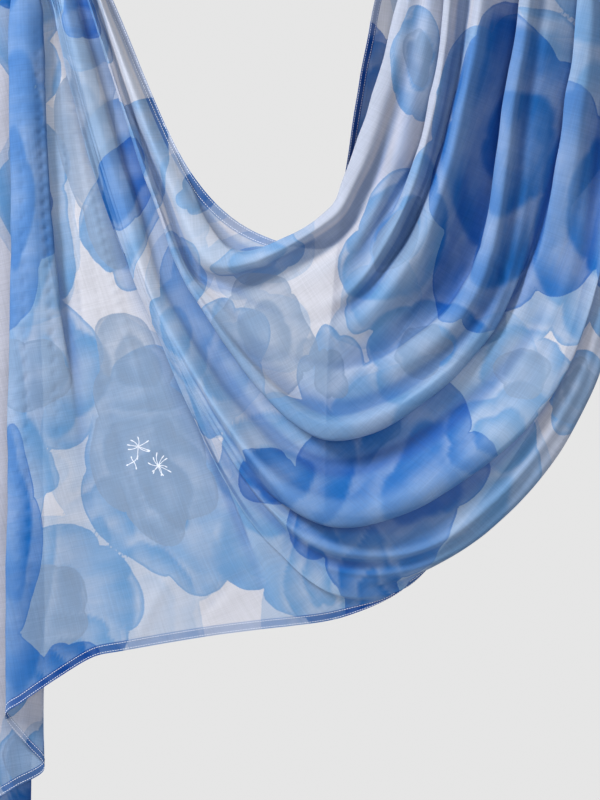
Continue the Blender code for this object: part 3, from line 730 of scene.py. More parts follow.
away_from_pinch = np.linalg.norm(cloth, axis=2)
lift = sum(crease_lift(row) for row in CREASES)
lift += slack() * smooth_step(away_from_pinch, *SLACK_FADE)
lift += gathers()
cloth += normals * lift[:, :, None]
normals = cloth_normals()
extremes = [round(float(value), 1) for value in (lift.min(), lift.max())]
print("creases:", len(CREASES), "deepest and highest move in mm:", extremes)

# %% [markdown]
# ## Hem lines
#
# The raw edge is turned twice to the wrong side and stitched, so within ten millimetres of
# every edge the cloth is three thick. The distance from the nearest edge is kept with each
# point: the shader makes the cloth denser there. It could be painted by hand, but a measured
# distance keeps the hem's width even all round.

# %% distance from the edges
HEM_WIDTH = 10.0


def run_from_first(points):
    """Distance along each column of points from the first row."""
    gaps = np.linalg.norm(np.diff(points, axis=0), axis=2)
    return np.concatenate([np.zeros((1, points.shape[1])), np.cumsum(gaps, axis=0)])


edge_distance = np.full(present.shape, 99.0)
foot_rows = slice(swag_rows - 1, None)
# Rows and columns, the axis that runs inwards, and the end (first or last) that is the edge.
for rows, columns, axis, end in (
    (slice(0, swag_rows), slice(None), 0, 1),
    (slice(0, swag_rows), slice(turn, None), 0, -1),
    (slice(None), slice(0, turn + 1), 0, -1),
    (foot_rows, slice(0, turn + 1), 1, -1),
    (slice(0, swag_rows), slice(None), 1, -1),
):
    points = cloth[rows, columns] if axis == 0 else cloth[rows, columns].swapaxes(0, 1)
    run = run_from_first(points[::end])[::end]
    run = run if axis == 0 else run.T
    edge_distance[rows, columns] = np.minimum(edge_distance[rows, columns], run)
hem_share = float((edge_distance[present] < HEM_WIDTH).mean())
print("share of the points that lie in a hem:", round(hem_share, 3))

# %% [markdown]
# ## Valleys and ridges
#
# Where the cloth dips between two folds the shader paints shade into it, and on a ridge it
# paints a highlight. How far each point lies below or above the cloth on either side of it is
# measured at two distances and kept, and the shader darkens or lightens the colour by it. Light
# alone would shade the folds too, but a solid shell lets too little light wander through, so
# without this painted shade the valleys look thin.

# %% relief
RELIEF_REACH = (10.0, 26.0)
RELIEF_SHARE = (1.1, 1.3)


def relief_at(reach):
    """How far each point lies behind the middle of its neighbours across the folds."""
    total = np.zeros(present.shape)
    for column in range(columns_total):
        rows = swag_rows if column > turn else rows_total
        points = cloth[:rows, column]
        run = np.concatenate([[0], np.cumsum(np.linalg.norm(np.diff(points, axis=0), axis=1))])
        apart = np.minimum(reach, np.minimum(run, run[-1] - run))
        sides = [
            np.stack([np.interp(run + way * apart, run, points[:, k]) for k in range(3)], axis=1)
            for way in (-1, 1)
        ]
        behind = 0.5 * (sides[0] + sides[1]) - points
        total[:rows, column] = np.sum(behind * normals[:rows, column], axis=1) / reach
    return total


relief = sum(share * relief_at(reach) for share, reach in zip(RELIEF_SHARE, RELIEF_REACH))
relief = np.clip(relief, -1, 1)
print("relief from", round(float(relief.min()), 2), "to", round(float(relief.max()), 2))

# %% [markdown]
# ## The print
#
# The print is a loose, watery flower pattern: washes of four strengths laid over each other,
# each with a scalloped outline, a slightly darker rim and a softer inside. Each flower below
# is drawn from plain numbers: where its heart shows on the hanging cloth, how it leans, its
# length and width, how many petals it has, and how far each wash reaches. It is drawn in the
# flat cloth, so it runs on through the folds as a real print does. A painted image would do
# too, but numbers keep the edges sharp at any size and need no file.

# %% flower table
# name, side, x, drop, lean, length, width, petals, reach of the pale, blue, navy and grey wash.
FLOWERS = (
    ("panel_flower", "front", 160, 468, -24, 300, 186, 5, 1.0, 0.84, 0.0, 0.62),
    ("panel_heart", "front", 166, 486, -24, 170, 96, 4, 0.0, 0.9, 0.0, 0.0),
    ("panel_petal_1", "front", 134, 362, -10, 110, 96, 3, 1.0, 0.0, 0.0, 0.85),
    ("panel_petal_2", "front", 92, 556, 20, 150, 80, 3, 1.0, 0.0, 0.0, 0.0),
    ("panel_petal_3", "front", 158, 606, 80, 80, 130, 4, 1.0, 0.0, 0.0, 0.0),
    ("low_left_1", "front", 30, 610, 10, 190, 200, 6, 1.0, 0.9, 0.0, 0.5),
    ("low_left_2", "front", 66, 660, -10, 90, 120, 4, 0.0, 1.0, 0.5, 0.0),
    ("hem_left", "front", 30, 706, 30, 90, 200, 4, 0.0, 1.0, 0.8, 0.0),
    ("left_blue_1", "front", 26, 366, 0, 150, 170, 4, 0.0, 1.0, 0.0, 0.5),
    ("left_blue_2", "front", 22, 200, 4, 230, 190, 5, 1.0, 0.94, 0.6, 0.0),
    ("left_blue_3", "front", 20, 470, 0, 70, 90, 3, 1.0, 0.7, 0.0, 0.0),
    ("left_blue_4", "front", 20, 30, 0, 150, 150, 4, 0.0, 1.0, 0.6, 0.0),
    ("left_grey", "front", 80, 120, 8, 270, 110, 5, 0.8, 0.0, 0.0, 1.0),
    ("pleat_blue", "front", 128, 170, 18, 270, 130, 5, 0.0, 1.0, 0.5, 0.0),
    ("pleat_top", "front", 84, 10, 10, 110, 130, 4, 0.9, 1.0, 0.5, 0.0),
    ("roll_blue_1", "front", 176, 270, 30, 160, 90, 4, 1.0, 0.8, 0.0, 0.0),
    ("roll_blue_2", "front", 226, 366, 35, 220, 110, 5, 0.8, 1.0, 0.0, 0.0),
    ("roll_blue_3", "front", 176, 330, 30, 130, 90, 4, 0.8, 1.0, 0.0, 0.0),
    ("neck_blue", "front", 262, 262, 60, 160, 100, 4, 1.0, 0.75, 0.0, 0.0),
    ("neck_pale", "front", 196, 190, 40, 120, 90, 4, 1.0, 0.5, 0.0, 0.0),
    ("bowl_grey_1", "front", 262, 330, 10, 130, 120, 4, 0.7, 0.0, 0.0, 1.0),
    ("bowl_blue_1", "front", 328, 374, 85, 66, 110, 4, 0.0, 1.0, 0.0, 0.5),
    ("bowl_blue_2", "front", 372, 300, 40, 120, 90, 4, 1.0, 0.7, 0.0, 0.0),
    ("swag_flower", "front", 390, 496, 82, 330, 400, 7, 1.0, 0.93, 0.6, 0.0),
    ("swag_heart", "front", 430, 480, 80, 180, 260, 5, 0.0, 1.0, 0.62, 0.0),
    ("swag_left", "front", 276, 474, 60, 170, 150, 4, 0.8, 1.0, 0.5, 0.0),
    ("swag_petal", "front", 320, 578, 70, 60, 150, 3, 1.0, 0.6, 0.0, 0.0),
    ("hem_navy", "front", 378, 612, 75, 60, 170, 3, 0.0, 1.0, 0.95, 0.0),
    ("fall_flower", "front", 502, 190, 6, 400, 330, 7, 0.0, 1.0, 0.76, 0.0),
    ("fall_heart", "front", 504, 150, 0, 270, 220, 5, 0.0, 0.0, 1.0, 0.0),
    ("fall_petal_1", "front", 400, 236, 30, 170, 130, 4, 0.6, 1.0, 0.0, 0.5),
    ("fall_petal_2", "front", 424, 346, 20, 110, 130, 4, 0.0, 1.0, 0.0, 0.5),
    ("right_flower", "front", 600, 210, 0, 270, 150, 6, 0.0, 1.0, 0.6, 0.0),
    ("right_petal_1", "front", 522, 372, 40, 90, 90, 3, 0.0, 1.0, 0.0, 0.6),
    ("right_petal_2", "front", 574, 386, 10, 80, 60, 3, 0.0, 1.0, 0.0, 0.8),
    ("right_petal_3", "front", 500, 430, 30, 100, 100, 4, 1.0, 0.8, 0.0, 0.0),
    ("right_petal_4", "front", 424, 60, 0, 130, 60, 3, 0.0, 1.0, 0.0, 0.5),
    ("behind_navy", "behind", 364, 104, 8, 170, 120, 4, 0.0, 1.0, 1.1, 0.0),
    ("behind_flower_1", "behind", 420, 270, -20, 300, 230, 7, 1.0, 0.85, 0.5, 0.0),
    ("behind_flower_2", "behind", 520, 40, 30, 300, 260, 8, 1.0, 0.8, 0.0, 0.5),
    ("behind_petal_1", "behind", 356, 430, 0, 150, 130, 4, 0.0, 1.0, 0.0, 0.6),
    ("behind_petal_2", "behind", 440, 110, 15, 110, 90, 4, 0.0, 0.0, 0.0, 1.0),
    ("behind_petal_3", "behind", 606, -50, 0, 160, 120, 4, 0.0, 1.0, 0.7, 0.0),
    ("behind_petal_4", "behind", 430, -50, 0, 160, 130, 5, 1.0, 0.8, 0.5, 0.0),
    ("fall_top_1", "front", 448, -84, 0, 150, 190, 5, 1.0, 0.85, 0.5, 0.0),
    ("fall_top_2", "front", 590, -66, 0, 200, 260, 6, 1.0, 0.86, 0.0, 0.5),
    ("pinch_top", "front", 52, -56, 0, 170, 200, 5, 1.0, 0.86, 0.5, 0.0),
    ("pinch_right", "front", 66, -90, 0, 120, 160, 4, 1.0, 0.8, 0.0, 0.0),
    ("end_top", "end", 24, -40, 0, 220, 200, 5, 1.0, 0.86, 0.5, 0.0),
    ("end_outer_1", "end", 18, 250, 0, 220, 170, 5, 1.0, 0.84, 0.0, 0.5),
    ("end_outer_2", "end", 20, 470, 0, 180, 170, 5, 1.0, 0.84, 0.5, 0.0),
    ("end_outer_3", "end", 26, 810, 0, 150, 150, 5, 1.0, 0.84, 0.5, 0.0),
    ("tip", "cascade", 34, 826, 0, 110, 120, 4, 1.0, 0.8, 0.0, 0.5),
    ("behind_top_1", "behind", 500, -96, 0, 150, 190, 5, 1.0, 0.84, 0.0, 0.5),
    ("edge_navy", "edge", 3, 200, 0, 280, 90, 4, 0.0, 1.0, 0.95, 0.0),
    ("edge_blue", "edge", 3, 520, 0, 330, 90, 4, 0.0, 1.0, 0.7, 0.0),
    ("cascade_blue", "cascade", 28, 764, 0, 120, 90, 4, 1.0, 0.8, 0.0, 0.5),
    ("end_flower", "end", 0, 560, 10, 260, 210, 7, 1.0, 0.85, 0.5, 0.0),
    ("end_petal_1", "end", 16, 720, 0, 120, 90, 4, 0.0, 1.0, 0.0, 0.6),
    ("end_petal_2", "end", -6, 330, 0, 180, 130, 4, 1.0, 0.8, 0.0, 0.0),
    ("end_petal_3", "end", 6, 150, 0, 150, 120, 4, 0.0, 1.0, 0.5, 0.0),
    ("end_petal_4", "end", -14, 700, 0, 110, 90, 4, 1.0, 0.0, 0.0, 0.8),
)
WASHES = ("pale", "blue", "navy", "grey")
print("flowers:", len(FLOWERS), "in washes:", WASHES)

# %% where each flower sits
NEAREST_REACH = 4.0
FURTHER_REACH = 2.0
STEADY_SHARE = 0.02

front_row, tail_row = (row_of[fold_names.index(name)] for name in ("front_side", "tail_side_1"))
side_of = {
    "front": present & (column_number <= bar) & (row_number <= front_row),
    "behind": present & (column_number > bar + BAR_COLUMNS),
    "end": present & (row_number > tail_row),
    "edge": present & (row_number > front_row) & (row_number < tail_row),
    "cascade": present & (row_number > front_row),
}


def seen_point(side, x, drop):
    """Row and column of the point that shows at a chart place, from in front or from behind."""
    places = np.stack([cloth[:, :, 0] + PINCH_X - x, PINCH_DROP - cloth[:, :, 2] - drop], axis=2)
    away = np.linalg.norm(places, axis=2)
    away[~side_of[side]] = 1e9
    reach = max(NEAREST_REACH, away.min() + FURTHER_REACH)
    depth = cloth[:, :, 1] if side in ("front", "edge", "cascade") else -cloth[:, :, 1]
    depth = np.where(away < reach, depth, 1e9)
    return np.unravel_index(int(np.argmin(depth)), depth.shape)


def flat_direction(row, column, lean):
    """The direction in the flat cloth that shows at this lean, clockwise from straight up."""
    r = np.clip(row, 1, rows_total - 2)
    c = np.clip(column, 1, columns_total - 2)
    moves = np.stack([cloth[r + 1, c] - cloth[r - 1, c], cloth[r, c + 1] - cloth[r, c - 1]])
    laid = np.stack([flat[r + 1, c] - flat[r - 1, c], flat[r, c + 1] - flat[r, c - 1]])
    lean = np.radians(lean)
    aim = np.array([np.sin(lean), np.cos(lean)])
    screen = moves[:, [0, 2]].T
    shares = np.linalg.solve(screen.T @ screen + STEADY_SHARE * np.eye(2), screen.T @ aim)
    return unit(shares @ laid)


# %% petals and washes
NOTCH = 0.16
UNEVENNESS = (0.03, 0.07)
WASH_SHIFT = 0.1
PLAIN_SHADE = 0.4
PETAL_LAYERS = 1.9
FLOWER_SEED = 100
FAR_OUTSIDE = -60.0


def petal_reach(angle, petals, chance):
    """How far a flower reaches in each direction: round petals with notches between them."""
    turned = angle + chance.uniform(0, 2 * np.pi)
    beat = np.abs(np.sin(0.5 * petals * turned)) ** 0.5
    uneven = sum(
        chance.uniform(*UNEVENNESS) * np.sin(beats * angle + chance.uniform(0, 2 * np.pi))
        for beats in (1, 2, 3, 5)
    )
    return 1 - NOTCH * (1 - beat) + uneven


def painted(flowers):
    """Each wash's signed distance in millimetres inside its outline, and the soft shading."""
    washes = {name: np.full(present.shape, FAR_OUTSIDE) for name in WASHES}
    shade = np.full(present.shape, PLAIN_SHADE)
    for number, row in enumerate(flowers):
        side, x, drop, lean, length, width, petals = row[1:8]
        chance = np.random.default_rng(FLOWER_SEED + number)
        r, c = seen_point(side, x, drop)
        along = flat_direction(r, c, lean)
        across = np.array([-along[1], along[0]])
        place = flat - flat[r, c]
        u, v = 2 * (place @ along) / length, 2 * (place @ across) / width
        radius = np.hypot(u, v) + 1e-6
        angle = np.arctan2(v, u)
        size = 0.25 * (length + width)
        for wash, reach in zip(WASHES, row[8:]):
            shift = chance.uniform(-WASH_SHIFT, WASH_SHIFT, 2)
            if reach:
                part = np.hypot(u - shift[0], v - shift[1]) + 1e-6
                inside = (reach * petal_reach(np.arctan2(v, u), petals, chance) - part) * size
                washes[wash] = np.maximum(washes[wash], inside)
        streaks = 0.5 + 0.5 * np.sin(petals * angle + 3 * radius + chance.uniform(0, 6))
        streaks = 0.5 + (streaks - 0.5) * smooth_step(radius, 0.25, 0.8)
        layer = (PETAL_LAYERS * radius / petal_reach(angle, petals, chance)) % 1.0
        rings = layer**1.4 * (1 - smooth_step(layer, 0.84, 1.0))
        weight = smooth_step(radius, 1.25, 0.95)
        shade = shade * (1 - weight) + weight * (0.25 * streaks + 0.75 * rings)
    return washes, shade


washes, shade = painted(FLOWERS)
for name in WASHES:
    covered = float((washes[name][present] > 0).mean())
    print(name, "covers", round(100 * covered), "% of the points")

# %% [markdown]
# ## Meshes of the stretches
#
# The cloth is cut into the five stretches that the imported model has. They are one piece of
# fabric, so neighbours share their border points exactly, and every point keeps the normal of
# the whole cloth, which leaves no line to see where two stretches meet. One mesh for the whole
# cloth would be simpler, but each piece has to stand for a solid of its own.

# %% spans of the stretches
panel_row = row_of[fold_names.index("panel_d")]
STRETCHES = {
    "left_end": (slice(panel_row, None), slice(0, turn + 1)),
    "left_panel": (slice(swag_rows - 1, panel_row + 1), slice(0, turn + 1)),
    "swag": (slice(0, swag_rows), slice(0, turn + 1)),
    "right_fall": (slice(0, swag_rows), slice(turn, bar + 1)),
    "back_tail": (slice(0, swag_rows), slice(bar, None)),
}
print("stretches:", list(STRETCHES))


# %% mesh helpers
def new_piece(name, points, faces):
    """A mesh object in metres, linked to the scene."""
    mesh = bpy.data.meshes.new(name)
    mesh.from_pydata((points * 0.001).tolist(), [], faces.tolist())
    mesh.shade_smooth()
    piece = bpy.data.objects.new(name, mesh)
    bpy.context.scene.collection.objects.link(piece)
    return piece


def grid_faces(rows, columns):
    number = np.arange(rows * columns).reshape(rows, columns)
    corners = (number[:-1, :-1], number[1:, :-1], number[1:, 1:], number[:-1, 1:])
    return np.stack(corners, axis=2).reshape(-1, 4)


def keep_values(mesh, name, values):
    layer = mesh.attributes.new(name, "FLOAT", "POINT")
    layer.data.foreach_set("value", np.ascontiguousarray(values, dtype=np.float32).ravel())


def keep_flat(mesh, places):
    """The flat places in metres as the mesh's UV map."""
    layer = mesh.uv_layers.new(name="flat")
    vertex_of = np.zeros(len(mesh.loops), int)
    mesh.loops.foreach_get("vertex_index", vertex_of)
    uv = (places.reshape(-1, 2)[vertex_of] * 0.001).astype(np.float32)
    layer.data.foreach_set("uv", uv.ravel())


# %% cloth pieces
def cloth_piece(name, rows, columns):
    points = cloth[rows, columns]
    faces = grid_faces(*points.shape[:2])
    piece = new_piece(name + "_cloth", points.reshape(-1, 3), faces)
    mesh = piece.data
    keep_flat(mesh, flat[rows, columns])
    for wash in WASHES:
        keep_values(mesh, wash, washes[wash][rows, columns])
    keep_values(mesh, "shade", shade[rows, columns])
    keep_values(mesh, "edge", edge_distance[rows, columns])
    keep_values(mesh, "relief", relief[rows, columns])
    mesh.normals_split_custom_set_from_vertices(normals[rows, columns].reshape(-1, 3).tolist())
    return piece


cloth_pieces = {name: cloth_piece(name, *span) for name, span in STRETCHES.items()}
for name, piece in cloth_pieces.items():
    area = sum(face.area for face in piece.data.polygons)
    triangles = 2 * len(piece.data.polygons)
    print(name, "has", triangles, "triangles and", round(area, 3), "square metres")

# %% [markdown]
# ## Where the hems run
#
# A hem is the cloth's own edge turned over, so each one follows the cloth's own points. The
# table says whether an edge is a row or a column of the grid, which one, the way inwards from
# it, and the span that it covers. The lines inside an edge are found by measuring inwards, so
# that a hem stays as wide where the grid is close as where it is open.

# %% hem table
# name: row or column, its number, the way inwards from it, and the span along it.
last_row, last_column = rows_total - 1, columns_total - 1
corner_row = row_of[fold_names.index("tail_corner")]
HEM_INWARD = 14
HEMS = {
    "hem_neck_left": ("row", 0, 1, slice(18, turn - 10)),
    "hem_neck_right": ("row", 0, 1, slice(turn - 10, bar + 1)),
    "hem_tail_side": ("row", 0, 1, slice(bar, None)),
    "hem_fall": ("row", swag_rows - 1, -1, slice(turn, bar + 1)),
    "hem_tail_short_side": ("row", swag_rows - 1, -1, slice(bar, None)),
    "hem_left_upper": ("row", last_row, -1, slice(18, turn + 1)),
    "hem_lower": ("column", turn, -1, slice(swag_rows - 1, corner_row + 1)),
    "hem_left_end": ("column", turn, -1, slice(corner_row, None)),
    "hem_tail_end": ("column", last_column, -1, slice(0, swag_rows)),
}
print("hems:", list(HEMS))


# %% lines inside an edge
def inward(values, kind, edge, way, span):
    """Values on the lines that run inwards from an edge: steps inwards first, then along."""
    steps_in = edge + way * np.arange(HEM_INWARD)
    return values[steps_in, span] if kind == "row" else values[span][:, steps_in].swapaxes(0, 1)


def lines_inside(where, distances):
    """Points, normals, flat places, washes and shade at these distances inside an edge."""
    points = inward(cloth, *where)
    run = run_from_first(points)
    stack = [points, inward(normals, *where), inward(flat, *where)]
    stack += [inward(washes[wash], *where)[:, :, None] for wash in WASHES]
    stack += [inward(shade, *where)[:, :, None]]
    values = np.concatenate(stack, axis=2)
    lines = []
    for distance in distances:
        after = np.clip((run < distance).sum(axis=0), 1, len(run) - 1)
        along = np.arange(points.shape[1])
        low, high = run[after - 1, along], run[after, along]
        share = np.clip((distance - low) / np.maximum(high - low, 1e-6), 0, 1)[:, None]
        lines.append(values[after - 1, along] * (1 - share) + values[after, along] * share)
    return np.array(lines)


# %% [markdown]
# ## Turned hems
#
# Each hem is a narrow strip: it leaves the edge, wraps behind the cloth and ends ten
# millimetres in, a little nearer to the cloth again. A solidify modifier would thicken the
# edge as well, but it wouldn't show where the turned edge ends.

# %% hems
HEM_BEHIND = 0.35
HEM_DISTANCES = (0.0, 0.5, 3.5, 6.8, 9.4, HEM_WIDTH)
HEM_DEPTHS = (0.0, 0.8, 1.0, 1.0, 1.0, 0.5)


def hem_piece(name, where):
    """The turned edge, as a strip behind the cloth."""
    distances = np.array(HEM_DISTANCES)
    behind = np.array(HEM_DEPTHS) * HEM_BEHIND
    lines = lines_inside(where, distances)
    ways = unit(lines[:, :, 3:6])
    points = lines[:, :, :3] - ways * behind[:, None, None]
    faces = grid_faces(*points.shape[:2])
    step_in, step_on = points[2, 1] - points[1, 1], points[2, 2] - points[2, 1]
    if np.dot(np.cross(step_in, step_on), ways[2, 1]) > 0:
        faces = faces[:, ::-1]
    piece = new_piece(name + "_fold", points.reshape(-1, 3), faces)
    keep_flat(piece.data, lines[:, :, 6:8])
    for k, wash in enumerate(WASHES):
        keep_values(piece.data, wash, lines[:, :, 8 + k])
    keep_values(piece.data, "shade", lines[:, :, 8 + len(WASHES)])
    keep_values(piece.data, "edge", np.broadcast_to(distances[:, None], points.shape[:2]))
    keep_values(piece.data, "relief", np.zeros(points.shape[:2]))
    return piece


# %% [markdown]
# ## Stitches
#
# A machine sews the hem with two rows of short white stitches, one near the edge and one that
# holds the turned edge down. They show on both faces. Each stitch is a small rounded bar,
# widest in the middle and pulled in at its ends, and all stitches of a hem are one mesh. A
# dotted line in the material would be lighter, but it would stay flat in the side views.

# %% stitches
STITCH_PITCH = 2.6
STITCH_LENGTH = 1.9
STITCH_WIDTH = 0.55
STITCH_ROWS = (1.7, 8.3)
STITCH_LIFT = 0.12
STITCH_SUNK = 0.1
STITCH_RISE = 0.16
STITCH_END = 0.6
STITCH_HALF = 0.275
# Corner numbers of the triangles of one stitch: its near end, its middle and its far end.
STITCH_FACES = (
    (0, 4, 3), (0, 3, 1), (1, 3, 2),
    (2, 3, 6), (2, 6, 5), (3, 4, 7), (3, 7, 6),
    (5, 6, 8), (6, 9, 8), (6, 7, 9),
)  # fmt: skip


def stitch_piece(name, where):
    """Both rows of stitches along an edge, on the front and on the back of the cloth."""
    corners, faces = [], []
    for line in lines_inside(where, STITCH_ROWS):
        points, ways = line[:, :3], unit(line[:, 3:6])
        run = np.concatenate([[0], np.cumsum(np.linalg.norm(np.diff(points, axis=0), axis=1))])
        centres = np.arange(STITCH_PITCH, run[-1] - STITCH_PITCH, STITCH_PITCH)
        ends = [centres - STITCH_LENGTH / 2, centres + STITCH_LENGTH / 2]
        at = [np.stack([np.interp(s, run, points[:, k]) for k in range(3)], axis=1) for s in ends]
        way = unit(np.stack([np.interp(centres, run, ways[:, k]) for k in range(3)], axis=1))
        side = unit(np.cross(way, at[1] - at[0])) * STITCH_WIDTH / 2
        middle = 0.5 * (at[0] + at[1])
        near, far = (middle + part * (at[1] - at[0]) for part in (-STITCH_HALF, STITCH_HALF))
        for height, out in ((STITCH_LIFT, 1), (HEM_BEHIND + STITCH_LIFT, -1)):
            low, high = way * (height - STITCH_SUNK) * out, way * (height + STITCH_RISE) * out
            ring = [at[0] + side * STITCH_END + low, at[0] - side * STITCH_END + low]
            ring += [near - side + low, near + high, near + side + low]
            ring += [far - side + low, far + high, far + side + low]
            ring += [at[1] - side * STITCH_END + low, at[1] + side * STITCH_END + low]
            first = sum(len(part) for part in corners)
            corners.append(np.stack(ring, axis=1).reshape(-1, 3))
            starts = first + len(ring) * np.arange(len(centres))
            faces.append((starts[:, None, None] + np.array(STITCH_FACES)).reshape(-1, 3))
    name = name.replace("hem", "stitches")
    return new_piece(name, np.concatenate(corners), np.concatenate(faces))


# %% [markdown]
# ## White sprigs
#
# One flower carries a few small white sprigs, printed over the blue. They are too fine for the
# wandering edge of the washes, so each filament is a narrow strip of faces that lies on the
# cloth and widens at its tip.

# %% sprigs
# x, drop, filaments, length and turn of each sprig.
STAMENS = (
    (141, 446, 8, 15.0, 0.3),
    (160, 468, 11, 14.0, 1.1),
    (131, 461, 4, 9.0, 2.2),
)
FILAMENT_WIDTH = 0.8
FILAMENT_OUT = 0.12
FILAMENT_SHAPE = (0.8, 1.0, 0.9, 0.8, 0.8, 1.6, 1.2)
SPRIG_SEED = 11
NEAR_ROWS = 30
NEAR_COLUMNS = 16


def on_cloth(row, column, place):
    """The point and normal of the cloth at a flat place near a known row and column."""
    rows = slice(max(row - NEAR_ROWS, 1), row + NEAR_ROWS)
    near = (rows, slice(column - NEAR_COLUMNS, column + NEAR_COLUMNS))
    away = np.linalg.norm(flat[near] - place, axis=2)
    r, c = np.unravel_index(int(np.argmin(away)), away.shape)
    r, c = r + near[0].start, c + near[1].start
    moves = np.stack([cloth[r + 1, c] - cloth[r - 1, c], cloth[r, c + 1] - cloth[r, c - 1]])
    laid = np.stack([flat[r + 1, c] - flat[r - 1, c], flat[r, c + 1] - flat[r, c - 1]])
    shares = np.linalg.solve(laid.T, place - flat[r, c])
    return cloth[r, c] + shares @ moves, normals[r, c]


def stamens():
    """White printed sprigs: curved filaments with a dot at each tip, laid on the cloth."""
    points, faces = [], []
    chance = np.random.default_rng(SPRIG_SEED)

    def strip(row, column, line, widths):
        first = len(points)
        for k, place in enumerate(line):
            ahead = line[min(k + 1, len(line) - 1)] - line[max(k - 1, 0)]
            side = np.array([-ahead[1], ahead[0]]) / np.linalg.norm(ahead) * widths[k] / 2
            for way in (-1, 1):
                point, normal = on_cloth(row, column, place + way * side)
                points.append(point + normal * FILAMENT_OUT)
        for k in range(len(line) - 1):
            a = first + 2 * k
            faces.append((a, a + 1, a + 3, a + 2))

    for x, drop, count, length, turned in STAMENS:
        row, column = seen_point("front", x, drop)
        heart = flat[row, column]
        for k in range(count):
            angle = turned + 2 * np.pi * (k + chance.uniform(-0.25, 0.25)) / count
            reach = length * chance.uniform(0.6, 1.0)
            bend = chance.uniform(-0.5, 0.5)
            shares = np.linspace(0.0, 1.0, len(FILAMENT_SHAPE))
            turns = angle + bend * shares
            ways = np.stack([np.cos(turns), np.sin(turns)], axis=1)
            line = list(heart + reach * shares[:, None] * ways)
            strip(row, column, line, FILAMENT_WIDTH * np.array(FILAMENT_SHAPE))
    return new_piece("stamens_print", np.array(points), np.array(faces))


# %% make the sprigs, hems and stitches
sprigs = stamens()
hem_pieces = {name: hem_piece(name, where) for name, where in HEMS.items()}
stitch_pieces = {name: stitch_piece(name, where) for name, where in HEMS.items()}
stitches = sum(len(piece.data.polygons) // len(STITCH_FACES) for piece in stitch_pieces.values())
print("hems:", len(hem_pieces), "stitches:", stitches, "sprig faces:", len(sprigs.data.polygons))

# %% [markdown]
# ## Shader helpers
#
# A material is a small network of nodes. These helpers add one node each and return the
# socket that carries its result, so that a network reads like a sum.

# %% shader helpers
def node(tree, kind, values=None, **settings):
    """A shader node; each value is a number, a colour or the socket that feeds the input."""
    made = tree.nodes.new(kind)
    for key, value in settings.items():
        setattr(made, key, value)
    for key, value in (values or {}).items():
        if isinstance(value, bpy.types.NodeSocket):
            tree.links.new(value, made.inputs[key])
        elif isinstance(value, tuple) and len(value) == 3 and made.inputs[key].type == "RGBA":
            made.inputs[key].default_value = (*value, 1.0)
        else:
            made.inputs[key].default_value = value
    return made


def sums(tree, operation, a, b=0.0, c=0.0):
    return node(tree, "ShaderNodeMath", {0: a, 1: b, 2: c}, operation=operation).outputs[0]


def ramp(tree, value, low, high, first=0.0, last=1.0):
    """A smooth step from one value to another as the input goes from low to high."""
    values = {"Value": value, "From Min": low, "From Max": high, "To Min": first, "To Max": last}
    made = node(tree, "ShaderNodeMapRange", values, interpolation_type="SMOOTHSTEP")
    return made.outputs["Result"]


def noise(tree, place, scale, detail=2.0, rough=0.5):
    values = {"Vector": place, "Scale": scale, "Detail": detail, "Roughness": rough}
    return node(tree, "ShaderNodeTexNoise", values).outputs["Fac"]


def mixed(tree, share, a, b, blend="MIX"):
    made = node(tree, "ShaderNodeMix", data_type="RGBA", blend_type=blend)
    for index, value in ((0, share), (6, a), (7, b)):
        if isinstance(value, bpy.types.NodeSocket):
            tree.links.new(value, made.inputs[index])
        else:
            made.inputs[index].default_value = value if index == 0 else (*value, 1.0)
    return made.outputs[2]


def stretched(tree, place, x, y):
    return node(tree, "ShaderNodeMapping", {"Vector": place, "Scale": (x, y, 1.0)}).outputs[0]


def kept(tree, name):
    return node(tree, "ShaderNodeAttribute", attribute_name=name).outputs["Fac"]


# %% [markdown]
# ## The printed colour
#
# The washes sit on the ground in turn, each with a wandering outline, a darker rim where the
# wet colour gathered, and a mottled inside. The distances kept with each point say how far
# inside an outline it lies. Noise on the flat cloth makes the outlines wander and the colour
# drift, at the scale of wet brush marks.

# %% printed colour
GROUND = (0.60, 0.61, 0.69)
PALE = (0.37, 0.46, 0.62)
BLUE = (0.10, 0.265, 0.52)
NAVY = (0.004, 0.115, 0.41)
GREY = (0.20, 0.29, 0.44)
GROUND_MOTTLE = 0.93
# Each wash with its colour and how much of it there is where it is thinnest.
TINTS = (("pale", PALE, 0.5), ("blue", BLUE, 0.42), ("grey", GREY, 0.35), ("navy", NAVY, 0.5))


def printed_colour(tree, place):
    """The colour of the printed cloth at each flat place."""
    wander = sums(tree, "MULTIPLY_ADD", noise(tree, place, 36.0, 2.0), 5.0, -2.5)
    fray = sums(tree, "MULTIPLY_ADD", noise(tree, place, 900.0, 1.0), 1.2, -0.6)
    mottle = noise(tree, place, 26.0, 4.0, 0.6)
    brush = noise(tree, stretched(tree, place, 14.0, 60.0), 1.0, 3.0, 0.6)
    soft = sums(tree, "MULTIPLY_ADD", kept(tree, "shade"), 0.6, sums(tree, "MULTIPLY", mottle, 0.4))
    darker = tuple(GROUND_MOTTLE * c for c in GROUND)
    colour = mixed(tree, ramp(tree, mottle, 0.3, 0.75), GROUND, darker)
    for name, tint, least in TINTS:
        inside = sums(tree, "ADD", sums(tree, "ADD", kept(tree, name), wander), fray)
        mask = ramp(tree, inside, -0.5, 0.7)
        rim = ramp(tree, inside, 0.5, 9.0, 1.0, 0.0)
        body = ramp(tree, soft, 0.12, 0.72, least, 0.95)
        body = sums(tree, "MULTIPLY_ADD", sums(tree, "SUBTRACT", brush, 0.5), 0.35, body)
        body = sums(tree, "MAXIMUM", body, sums(tree, "MULTIPLY", rim, 0.8))
        values = {0: mask, 1: body}
        share = node(tree, "ShaderNodeMath", values, operation="MULTIPLY", use_clamp=True)
        colour = mixed(tree, share.outputs[0], colour, tint)
    return colour
